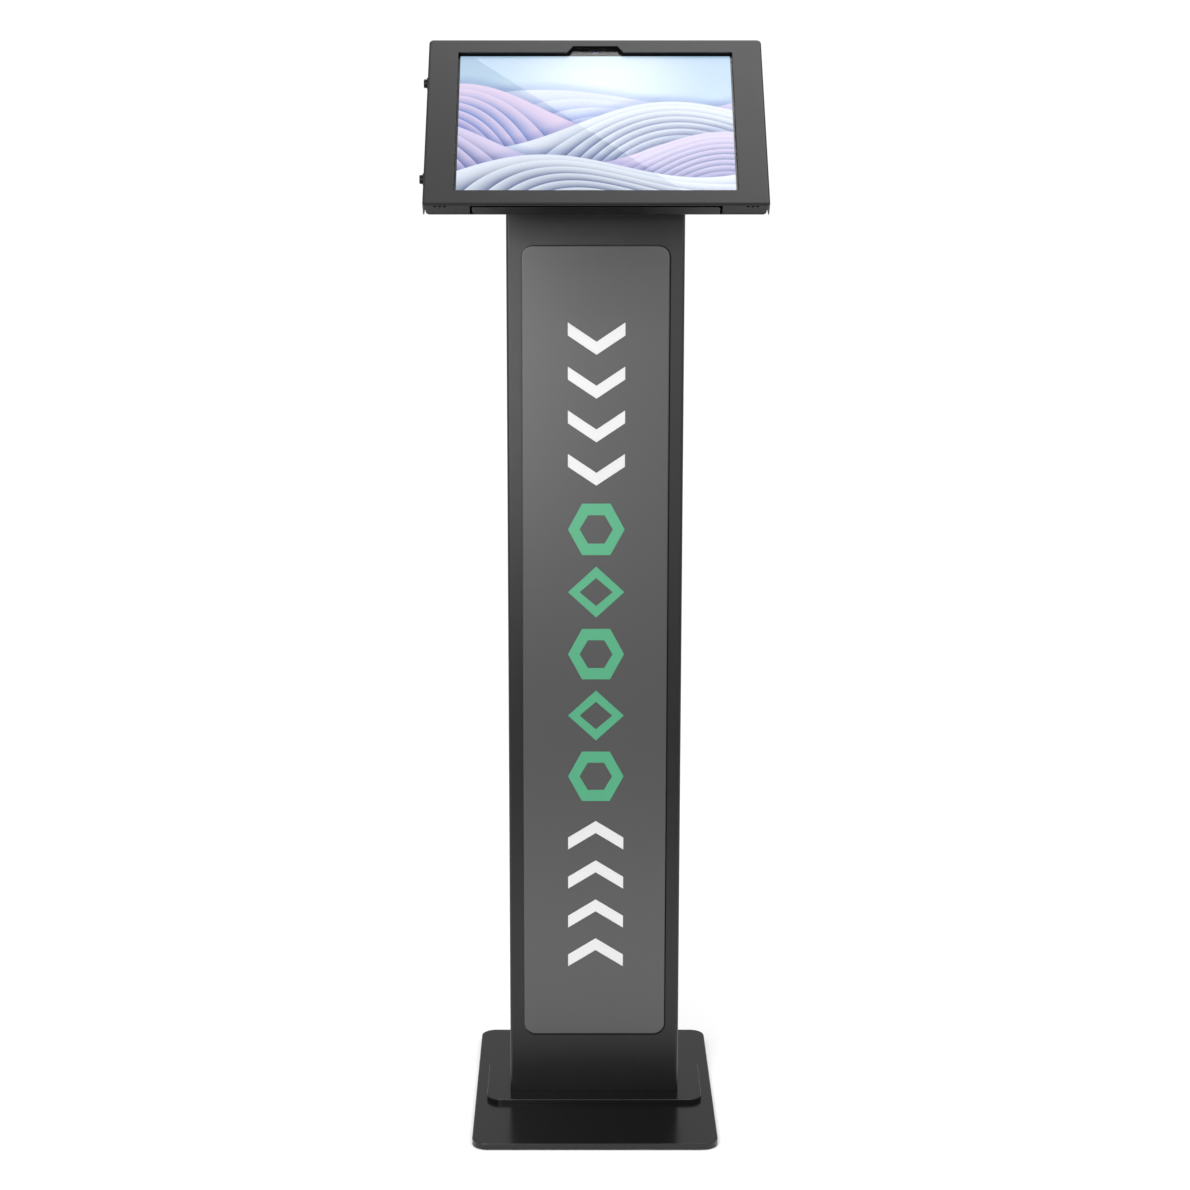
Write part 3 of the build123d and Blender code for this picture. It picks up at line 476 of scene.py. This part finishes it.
def metal(name, bright, dull, smooth, rough, stretch, edge):
    finish, tree, shader, place = new_finish(name)
    lines = add_node(tree, "Mapping", {"Vector": place, "Scale": stretch}).outputs[0]
    clouds = noise(tree, lines, METAL_CLOUDS_PER_METRE, detail=5)
    tone = blend_colours(tree, clouds, (*bright, 1.0), (*dull, 1.0))
    tree.links.new(tone, shader.inputs["Base Color"])
    tree.links.new(between(tree, clouds, smooth, rough), shader.inputs["Roughness"])
    shader.inputs["Metallic"].default_value = 1.0
    grain = noise(tree, lines, METAL_GRAIN_PER_METRE)
    set_bump(tree, shader, grain, METAL_GRAIN_HEIGHT, edge=edge)
    return finish


metals = {name: metal(name, *facts) for name, facts in METALS.items()}
paint_nodes(
    metals["zinc_plate"],
    "base_bolts",
    "base_nuts",
    "rear_cover_nuts",
    "bracket_nuts",
    "vesa_screws",
    "vesa_nuts",
    "lock_bushes",
)
paint_nodes(metals["brushed_steel"], "hinge_tray_leaf", "hinge_cover_leaf", "hinge_pin")
paint_nodes(
    metals["black_oxide"],
    "rear_cover_screws",
    "bracket_screws",
    "security_screw_upper",
    "security_screw_lower",
    "screw_washer_upper",
    "screw_washer_lower",
)
paint_nodes(metals["anodised_aluminium"], "tablet_casing", "power_button", "volume_rocker")

# %% [markdown]
# ## Rubber, foam and moulded plastic
# The floor pad, the grommets and the corner blocks are black rubber, which is matt and slightly
# grainy. The gasket and the strips beside the tablet are foam, with open pores that swallow light.
# A Voronoi pattern gives pores: each cell is a bubble, and its distance from the centre is how
# deep it is. Foam hardly mirrors at all, so its sheen is low. The clips are moulded nylon,
# smoother and a little lighter. The panel's sheet of magnets is listed too. So is the black film
# that paints the shadow line round the panel.

# %% Soft black pieces
SOFT_BLACKS = {
    # name: (grey, roughness low, roughness high, sheen, cells in a metre, depth)
    "black_rubber": (0.012, 0.62, 0.80, 0.5, 1400, 0.00003),
    "black_foam": (0.002, 0.88, 1.00, 0.1, 1100, 0.00012),
    "nylon": (0.020, 0.38, 0.50, 0.5, 2200, 0.00001),
    "magnet_sheet": (0.022, 0.55, 0.70, 0.5, 800, 0.00002),
    # Black film behind the panel. It paints the shadow line round the panel.
    "shadow_film": (0.002, 0.80, 0.90, 0.1, 1600, 0.00001),
}
CELLS_IN_A_BLOT = 8
BLOT_LIGHTER = 1.8


def soft_black(name, level, smooth, rough, sheen, cells_per_metre, depth):
    finish, tree, shader, place = new_finish(name)
    blots = noise(tree, place, cells_per_metre / CELLS_IN_A_BLOT, detail=3)
    tone = blend_colours(tree, blots, grey(level), grey(level * BLOT_LIGHTER))
    tree.links.new(tone, shader.inputs["Base Color"])
    tree.links.new(between(tree, blots, smooth, rough), shader.inputs["Roughness"])
    shader.inputs["Specular IOR Level"].default_value = sheen
    cells = add_node(tree, "TexVoronoi", {"Vector": place, "Scale": cells_per_metre})
    set_bump(tree, shader, cells.outputs["Distance"], depth)
    return finish


soft_blacks = {name: soft_black(name, *facts) for name, facts in SOFT_BLACKS.items()}
paint_nodes(
    soft_blacks["black_rubber"], "floor_pad", "cable_grommet", "head_grommet", "corner_blocks"
)
paint_nodes(soft_blacks["black_foam"], "window_gasket", "foam_strips")
paint_nodes(soft_blacks["nylon"], "cable_clips")
paint_nodes(soft_blacks["magnet_sheet"], "magnetic_backing")

# %% [markdown]
# ## The printed panel
# The panel is a thin printed sheet with a satin laminate, held on by magnets. Its ground is a dark
# grey, and the laminate has a faint silky texture. Over the panel's lower half the grey gets a
# little lighter. That is painted light, which makes up for less light near the floor. It is laid
# over the sheet's own coordinates. The inks get lighter towards the bottom the same way, as painted
# light for the same reason.

# %% Panel laminate
panel_low, panel_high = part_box("graphic_panel")
# The panel's upper and lower grey. The lighter lower one is painted light.
PANEL_GREYS_WITH_PAINTED_LIGHT = (0.042, 0.060)
PAINTED_LIGHT_START = 0.5
LAMINATE_ROUGHNESS = (0.29, 0.36)
LAMINATE_PER_METRE = 2500
LAMINATE_HEIGHT, LAMINATE_EDGE = 0.000004, 0.0003


def laminate_with_painted_light(name, upper, lower):
    """A satin print whose tone changes from one to another over the panel's lower part, as painted
    light.
    """
    finish, tree, shader, place = new_finish(name)
    height = add_node(tree, "SeparateXYZ", {0: place}).outputs["Z"]
    # Painted light: below this point the tone gets lighter, which makes up for less light near the
    # floor.
    painted_light_top = panel_high.z + PAINTED_LIGHT_START * (panel_low.z - panel_high.z)
    fade = smooth_step(tree, height, painted_light_top, panel_low.z)
    tree.links.new(blend_colours(tree, fade, upper, lower), shader.inputs["Base Color"])
    silk = noise(tree, place, LAMINATE_PER_METRE)
    tree.links.new(between(tree, silk, *LAMINATE_ROUGHNESS), shader.inputs["Roughness"])
    set_bump(tree, shader, silk, LAMINATE_HEIGHT, edge=LAMINATE_EDGE)
    return finish


panel_grey = laminate_with_painted_light("panel_grey", *(grey(level) for level in PANEL_GREYS_WITH_PAINTED_LIGHT))
paint_nodes(panel_grey, "graphic_panel")

# %% [markdown]
# ## The motifs on the panel
# Three groups of shapes are printed down the panel: white arrows, green hexagons and diamonds, and
# white arrows that point back up. A picture could be mapped on, but a mesh keeps every edge sharp
# from any distance. Each motif is a thin inlay: an outline with a stroke of constant width, filled
# as a ring and drawn out by a fraction of a millimetre, about as thick as a vinyl film. Its mesh is
# moved to its place and not its object, so that the painted light in its ink fades by the same
# coordinates as the panel.

# %% Motif outlines
INK_THICKNESS = 0.00008
ARROW_STROKE, RING_STROKE = 0.0105 * 1.25, 0.0105 * 1.15
MOTIF_CENTRE_X = 0.0012
MOTIF_HALF = 0.0291
MOTIF_GAP = 0.012
# Both inks get lighter towards the bottom too. That is painted light, as in the panel's grey.
WHITE_INK_WITH_PAINTED_LIGHT = (grey(0.47), grey(0.585))
GREEN_INK_WITH_PAINTED_LIGHT = ((0.047, 0.243, 0.127, 1.0), (0.055, 0.28, 0.15, 1.0))


def arrow_outline(width, height, stroke):
    """A chevron pointing down, its middle at the origin."""
    half_width, half_height = width / 2, height / 2
    return [
        (-half_width, half_height),
        (0.0, -half_height + stroke),
        (half_width, half_height),
        (half_width, half_height - stroke),
        (0.0, -half_height),
        (-half_width, half_height - stroke),
    ]


def many_sided(sides, half_width, half_height):
    """A regular outline, stretched to a width and a height."""
    corners = [(cos(2 * pi * k / sides), sin(2 * pi * k / sides)) for k in range(sides)]
    reach_x = max(abs(x) for x, _ in corners)
    reach_z = max(abs(z) for _, z in corners)
    return [(x / reach_x * half_width, z / reach_z * half_height) for x, z in corners]


# %% Print the motifs
def film(name, loops, centre, thickness, finish):
    """A thin sheet of closed loops that rides on the panel: outside first, then its holes."""
    drawing = bpy.data.curves.new(name, "CURVE")
    drawing.dimensions = "2D"
    drawing.fill_mode = "BOTH"
    drawing.extrude = thickness / 2
    for loop in loops:
        line = drawing.splines.new("POLY")
        line.points.add(len(loop) - 1)
        for point, (x, z) in zip(line.points, loop):
            point.co = (x, z, 0.0, 1.0)
        line.use_cyclic_u = True
    flat = bpy.data.objects.new(name + "_drawing", drawing)
    bpy.context.scene.collection.objects.link(flat)
    evaluated = flat.evaluated_get(bpy.context.evaluated_depsgraph_get())
    mesh = bpy.data.meshes.new_from_object(evaluated)
    bpy.data.objects.remove(flat)
    mesh.transform(Matrix.Translation(centre) @ Matrix.Rotation(pi / 2, 4, "X"))
    piece = bpy.data.objects.new(name, mesh)
    bpy.context.scene.collection.objects.link(piece)
    mesh.materials.clear()
    mesh.materials.append(finish)
    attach(piece, "panel")
    return piece


def inlay(name, loops, centre_z, ink):
    """A motif, printed on the panel's front."""
    centre = (MOTIF_CENTRE_X, panel_low.y - INK_THICKNESS / 2, centre_z)
    return film(name, loops, centre, INK_THICKNESS, ink)


white_ink = laminate_with_painted_light("white_ink", *WHITE_INK_WITH_PAINTED_LIGHT)
green_ink = laminate_with_painted_light("green_ink", *GREEN_INK_WITH_PAINTED_LIGHT)


def motif_rows(top, bottom, count):
    """Centres and the height of motifs that fill a stretch of the panel, top first."""
    height = ((top - bottom) - MOTIF_GAP * (count - 1)) / count
    return [top - height / 2 - k * (height + MOTIF_GAP) for k in range(count)], height


def motif_loops(kind, index, height):
    """The closed loops of one motif: an arrow down or up, or a hexagon or diamond by turns."""
    if kind == "ring":
        sides = (6, 4)[index % 2]
        outside = many_sided(sides, MOTIF_HALF, height / 2)
        inside = many_sided(sides, MOTIF_HALF - RING_STROKE, height / 2 - RING_STROKE)
        return [outside, inside]
    arrow = arrow_outline(2 * MOTIF_HALF, height, ARROW_STROKE)
    return [arrow if kind == "arrow_down" else [(x, -z) for x, z in arrow]]


MOTIF_GROUPS = {
    # kind: (highest point, lowest point, count, ink)
    "arrow_down": (0.8386, 0.6720, 4, white_ink),
    "ring": (0.6533, 0.3369, 5, green_ink),
    "arrow_up": (0.3150, 0.1541, 4, white_ink),
}
for kind, (top, bottom, count, ink) in MOTIF_GROUPS.items():
    rows, row_height = motif_rows(top, bottom, count)
    for index, centre_z in enumerate(rows):
        loops = motif_loops(kind, index, row_height)
        inlay(f"printed_{kind}_{index + 1}", loops, centre_z, ink)

# %% [markdown]
# ## A painted shadow round the panel
# A mounted panel never sits in its place without a line round it: the shadow that it casts below
# it and on its right. Here that shadow is painted. A black film lies behind the print, cut a little
# larger and shifted down and to the right, so it peeps out below and on the right. The eye reads
# that hair of black as the panel's thickness. It is the same kind of film as a motif, a ring this
# time, on the panel's back.

# %% Painted shadow film
PANEL_CORNER = 0.012
# Painted shadow: a black ring behind the panel, larger than it and shifted down and to the right.
SHADOW_FILM_THICKNESS = 0.0006
SHADOW_FILM_GROWTH = (0.0006, 0.0008)
SHADOW_FILM_SHIFT = (0.0005, -0.0007)
SHADOW_FILM_INSIDE = 0.0025
CORNER_STEPS = 8


def rounded_outline(half_width, half_height, corner, shift=(0.0, 0.0)):
    """A rectangle with round corners, counter-clockwise from the right."""
    points = []
    for turn, (side, end) in enumerate(((1, 1), (-1, 1), (-1, -1), (1, -1))):
        for step in range(CORNER_STEPS + 1):
            angle = (turn + step / CORNER_STEPS) * pi / 2
            points.append((
                side * (half_width - corner) + corner * cos(angle) + shift[0],
                end * (half_height - corner) + corner * sin(angle) + shift[1],
            ))
    return points


panel_centre = (panel_low + panel_high) / 2
half_width = (panel_high.x - panel_low.x) / 2
half_height = (panel_high.z - panel_low.z) / 2
outer_edge = rounded_outline(
    half_width + SHADOW_FILM_GROWTH[0],
    half_height + SHADOW_FILM_GROWTH[1],
    PANEL_CORNER + SHADOW_FILM_GROWTH[0],
    SHADOW_FILM_SHIFT,
)
inner_edge = rounded_outline(
    half_width - SHADOW_FILM_INSIDE, half_height - SHADOW_FILM_INSIDE, PANEL_CORNER - SHADOW_FILM_INSIDE
)
# The ring of painted shadow, laid behind the panel.
painted_shadow_ring = film(
    "panel_painted_shadow",
    [outer_edge, inner_edge],
    (panel_centre.x, panel_high.y + SHADOW_FILM_THICKNESS / 2, panel_centre.z),
    SHADOW_FILM_THICKNESS,
    soft_blacks["shadow_film"],
)
print("edging:", painted_shadow_ring.name, "with", len(painted_shadow_ring.data.vertices), "corners")

# %% [markdown]
# ## The screen
# The screen glows by itself, so its picture goes into the shader's emission. It shows folded
# paper: sheets stacked back to front, each a curve across the screen with everything below it in
# that sheet's colour, and a soft blue shadow on the sheet behind. Inside a sheet, pleats follow
# its rim. They come from the distance below the rim, counted in pleats that are narrow at one
# end and wide at the other: each starts pale at its fold and turns blue until the next one cuts
# it off. To draw on the sloping screen we need its own two directions, across and up the slope.

# %% Directions on the screen
HEAD_TILT = radians(45)
DISPLAY_THICKNESS = 0.0016
screen_low, screen_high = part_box("tablet_display")
screen_centre = (screen_low + screen_high) / 2
screen_half_width = (screen_high.x - screen_low.x) / 2
screen_half_height = ((screen_high.z - screen_low.z) / cos(HEAD_TILT) - DISPLAY_THICKNESS) / 2


def screen_directions(tree, place):
    """Across and up the screen, each from -1 to 1."""
    axes = add_node(tree, "SeparateXYZ", {0: place})
    across = sum_of(tree, "SUBTRACT", axes.outputs["X"], screen_centre.x)
    back = sum_of(tree, "SUBTRACT", axes.outputs["Y"], screen_centre.y)
    rise = sum_of(tree, "SUBTRACT", axes.outputs["Z"], screen_centre.z)
    slope = sum_of(
        tree,
        "ADD",
        sum_of(tree, "MULTIPLY", back, cos(HEAD_TILT)),
        sum_of(tree, "MULTIPLY", rise, sin(HEAD_TILT)),
    )
    across = sum_of(tree, "DIVIDE", across, screen_half_width)
    return across, sum_of(tree, "DIVIDE", slope, screen_half_height)


print("screen:", round(2 * screen_half_width, 4), "by", round(2 * screen_half_height, 4), "m")

# %% Screen picture
SKY_LEFT = (0.50, 0.68, 0.84, 1.0)
SKY_RIGHT = (0.46, 0.65, 0.82, 1.0)
SKY_TOP = (0.36, 0.53, 0.72, 1.0)
SKY_TOP_FROM, SKY_TOP_FULL, SKY_TOP_SHARE = 0.0, 1.1, 0.9
SKY_GLOW = (0.74, 0.86, 0.94, 1.0)
GLOW_ACROSS, GLOW_UP = 0.05, 0.60
GLOW_REACH, GLOW_NARROWER = 1.0, 1.15
PLEATED_SHEETS = (
    # rim: rest, swing, waves, start, lean; rim and deep colour; fade; pleats: count, spread, turn
    (0.34, 0.16, 2.3, 2.5, 0.02, (0.68, 0.75, 0.90), (0.20, 0.31, 0.68), 0.45, 8.0, 0.80, 0.4),
    (0.17, 0.30, 2.9, 4.3, -0.12, (0.78, 0.64, 0.86), (0.075, 0.18, 0.54), 0.42, 10.0, -0.85, 1.9),
    (-0.02, 0.26, 2.5, 0.4, 0.14, (0.76, 0.83, 0.93), (0.018, 0.075, 0.28), 0.36, 9.0, 0.85, 0.0),
    (-0.34, 0.30, 2.7, 5.2, -0.10, (0.70, 0.62, 0.86), (0.055, 0.10, 0.36), 0.36, 11.0, -0.80, 2.6),
    (-0.66, 0.24, 2.4, 2.7, 0.12, (0.76, 0.83, 0.94), (0.016, 0.06, 0.22), 0.34, 9.0, 0.85, 1.2),
)
RIM_SHADOW = (0.16, 0.27, 0.64, 1.0)
RIM_SHADOW_REACH = 0.16
RIM_SHADOW_DEPTH = 0.42
RIM_SOFTNESS = 0.008
PLEAT_CROWDING = 2.2
PLEAT_WIDENING = 0.85
PLEAT_CURVE, PLEAT_PALEST = 1.2, 0.18
SHEET_DEPTH_AT_RIM = 0.15
SCREEN_BRIGHTNESS = 1.0
SCREEN_OFF_BLACK = 0.01
SCREEN_ROUGHNESS = 0.35


def wave_height(tree, across, rest, swing, waves, start, lean):
    """The height of one sheet's rim at each place across the screen."""
    angle = sum_of(tree, "MULTIPLY_ADD", across, waves, start)
    wave = sum_of(tree, "MULTIPLY", sum_of(tree, "SINE", angle), swing)
    return sum_of(tree, "ADD", sum_of(tree, "MULTIPLY_ADD", across, lean, rest), wave)


def pleats(tree, across, below, count, spread, turn):
    """Saw teeth that follow a rim: 0 at each fold, rising to 1 before the next."""
    swell = sum_of(tree, "SINE", sum_of(tree, "MULTIPLY_ADD", across, PLEAT_CROWDING, turn))
    crowd = sum_of(tree, "MULTIPLY_ADD", swell, spread, 1.0)
    counted = sum_of(tree, "MULTIPLY", sum_of(tree, "MULTIPLY", below, count), crowd)
    above_zero = sum_of(tree, "MAXIMUM", counted, 0.0)
    return sum_of(tree, "FRACT", sum_of(tree, "POWER", above_zero, PLEAT_WIDENING))


def screen_sky(tree, across, up):
    """Pale blue, darker at the top, with a white glow above the middle."""
    side = add_node(tree, "MapRange", {"Value": across, "From Min": -1.0, "From Max": 1.0})
    plain = blend_colours(tree, side.outputs[0], SKY_LEFT, SKY_RIGHT)
    top = smooth_step(tree, up, SKY_TOP_FROM, SKY_TOP_FULL, SKY_TOP_SHARE)
    plain = blend_colours(tree, top, plain, SKY_TOP)
    aside = sum_of(tree, "MULTIPLY", sum_of(tree, "SUBTRACT", across, GLOW_ACROSS), GLOW_NARROWER)
    above = sum_of(tree, "SUBTRACT", up, GLOW_UP)
    squares = (sum_of(tree, "MULTIPLY", aside, aside), sum_of(tree, "MULTIPLY", above, above))
    away = sum_of(tree, "SQRT", sum_of(tree, "ADD", *squares))
    return blend_colours(tree, smooth_step(tree, away, GLOW_REACH, 0.0), plain, SKY_GLOW)


def pleated_sheet(tree, across, up, picture, rim_line, rim, deep, fade, *pleating):
    """Lays one sheet over the picture: its shadow, its pleats and its clean rim."""
    below = sum_of(tree, "SUBTRACT", wave_height(tree, across, *rim_line), up)
    shadow = smooth_step(tree, below, -RIM_SHADOW_REACH, 0.0, RIM_SHADOW_DEPTH)
    dimmed = add_node(
        tree, "Mix", {0: shadow, 6: picture, 7: RIM_SHADOW}, data_type="RGBA", blend_type="MULTIPLY"
    ).outputs[2]
    fold = sum_of(tree, "POWER", pleats(tree, across, below, *pleating), PLEAT_CURVE)
    depth = between(tree, smooth_step(tree, below, 0.0, fade), SHEET_DEPTH_AT_RIM, 1.0)
    shade = sum_of(tree, "MULTIPLY", depth, between(tree, fold, PLEAT_PALEST, 1.0))
    sheet = blend_colours(tree, shade, (*rim, 1.0), (*deep, 1.0))
    covered = add_node(tree, "MapRange", {"Value": below, "From Max": RIM_SOFTNESS}).outputs[0]
    return blend_colours(tree, covered, dimmed, sheet)


def screen_picture():
    finish, tree, shader, place = new_finish("lit_screen")
    across, up = screen_directions(tree, place)
    picture = screen_sky(tree, across, up)
    for facts in PLEATED_SHEETS:
        picture = pleated_sheet(tree, across, up, picture, facts[:5], *facts[5:])
    tree.links.new(picture, shader.inputs["Emission Color"])
    shader.inputs["Emission Strength"].default_value = SCREEN_BRIGHTNESS
    shader.inputs["Base Color"].default_value = grey(SCREEN_OFF_BLACK)
    shader.inputs["Roughness"].default_value = SCREEN_ROUGHNESS
    return finish


paint_nodes(screen_picture(), "tablet_display")

# %% [markdown]
# ## Glass, mask and lens
# The tablet's glass is thin and flat, so it hardly bends light: it lets the picture through and
# mirrors the soft box, more at a flat angle than from straight above. A Transparent and a Glossy
# shader mixed by that angle do just that, without noise. The CAD glass lies right on the screen,
# and two faces in one place confuse a ray. So the glass is drawn anew: the same sheet with its
# back lifted by a hair. The mask is printed on the glass's back, with no air between them, so it
# hardly mirrors by itself.

# %% Cover glass
GLASS_LIFT = 0.00015
GLASS_STRAIGHT_ON = 0.035
GLASS_FLATNESS_POWER = 5.0
GLASS_SMEARS = (0.0, 0.02)
SMEARS_PER_METRE = 30
head_up = Vector((0.0, -sin(HEAD_TILT), cos(HEAD_TILT)))


def cover_glass():
    finish, tree, shader, place = new_finish("cover_glass")
    tree.nodes.remove(shader)
    smears = between(tree, noise(tree, place, SMEARS_PER_METRE, detail=1), *GLASS_SMEARS)
    gloss = add_node(tree, "BsdfGlossy", {"Roughness": smears}).outputs[0]
    clear = add_node(tree, "BsdfTransparent").outputs[0]
    facing = add_node(tree, "LayerWeight").outputs["Facing"]
    flatness = sum_of(tree, "POWER", facing, GLASS_FLATNESS_POWER)
    share = between(tree, flatness, GLASS_STRAIGHT_ON, 1.0)
    mixed = add_node(tree, "MixShader", {0: share, 1: clear, 2: gloss}).outputs[0]
    tree.links.new(mixed, tree.nodes["Material Output"].inputs["Surface"])
    return finish


def draw_glass():
    """The CAD glass again, with its back lifted off the screen."""
    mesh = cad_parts["tablet_glass"].data.copy()
    heights = [vertex.co.dot(head_up) for vertex in mesh.vertices]
    middle = (min(heights) + max(heights)) / 2
    for vertex, height in zip(mesh.vertices, heights):
        if height < middle:
            vertex.co += head_up * GLASS_LIFT
    sheet = bpy.data.objects.new("cover_glass_sheet", mesh)
    bpy.context.scene.collection.objects.link(sheet)
    mesh.materials.clear()
    mesh.materials.append(cover_glass())
    print("glass:", round((max(heights) - min(heights) - GLASS_LIFT) * 1000, 2), "mm thick")
    return sheet


glass_sheet = draw_glass()
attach(glass_sheet, "stand")
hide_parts("tablet_glass")


# %% What lies under the glass
GLOSSY_DARKS = {
    # piece: (finish, colour, lighter colour, roughness low, roughness high, sheen)
    "screen_mask": ("mask_ink", (0.004, 0.004, 0.005), (0.007, 0.007, 0.008), 0.28, 0.36, 0.1),
    "tablet_camera": ("camera_lens", (0.006, 0.008, 0.020), (0.012, 0.010, 0.030), 0.06, 0.12, 0.5),
    "tablet_battery": ("battery_wrap", (0.02, 0.02, 0.022), (0.034, 0.034, 0.038), 0.35, 0.5, 0.5),
}
DARK_DRIFT_PER_METRE = 300


def glossy_dark(name, colour, lighter, smooth, rough, sheen):
    """Dark ink, lens coating or wrap: nearly smooth, with a faint drift in its tone."""
    finish, tree, shader, place = new_finish(name)
    drift = noise(tree, place, DARK_DRIFT_PER_METRE, detail=3)
    tone = blend_colours(tree, drift, (*colour, 1.0), (*lighter, 1.0))
    tree.links.new(tone, shader.inputs["Base Color"])
    tree.links.new(between(tree, drift, smooth, rough), shader.inputs["Roughness"])
    shader.inputs["Specular IOR Level"].default_value = sheen
    return finish


for piece, facts in GLOSSY_DARKS.items():
    paint_nodes(glossy_dark(*facts), piece)

# %% [markdown]
# ## The circuit board
# A board is dark green lacquer over copper. The lacquer is glossy and shows the copper lines under
# it as slightly lighter tracks. A brick pattern stands for the tracks and pads.

# %% Circuit board
LACQUER_GREENS = ((0.010, 0.060, 0.028, 1.0), (0.014, 0.080, 0.036, 1.0))
TRACK_GREEN = (0.030, 0.130, 0.060, 1.0)
TRACKS_PER_METRE, TRACK_WIDTH = 220.0, 0.03
TRACK_HEIGHT = 0.00003
LACQUER_BLOTS_PER_METRE = 500
LACQUER_ROUGHNESS = (0.22, 0.36)


def circuit_board():
    finish, tree, shader, place = new_finish("circuit_board")
    tracks = add_node(
        tree,
        "TexBrick",
        {
            "Vector": place,
            "Color1": LACQUER_GREENS[0],
            "Color2": LACQUER_GREENS[1],
            "Mortar": TRACK_GREEN,
            "Scale": TRACKS_PER_METRE,
            "Mortar Size": TRACK_WIDTH,
        },
    )
    tree.links.new(tracks.outputs["Color"], shader.inputs["Base Color"])
    blots = noise(tree, place, LACQUER_BLOTS_PER_METRE, detail=3)
    tree.links.new(between(tree, blots, *LACQUER_ROUGHNESS), shader.inputs["Roughness"])
    set_bump(tree, shader, tracks.outputs["Fac"], TRACK_HEIGHT)
    return finish


paint_nodes(circuit_board(), "tablet_board")

# %% [markdown]
# ## Check
# Every piece must have a finish by now, and the dressed stand must still fit the CAD model's box.

# %% Measure and finish
bare = [name for name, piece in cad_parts.items() if not piece.data.materials]
print("pieces with no finish:", bare or "none")
visual_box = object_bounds()
growth = max((visual_box[i][k] - cad_box[i][k]) * (1, -1)[i == 0] for i in (0, 1) for k in range(3))
print("dressing stands out by", round(growth * 1000, 3), "mm")
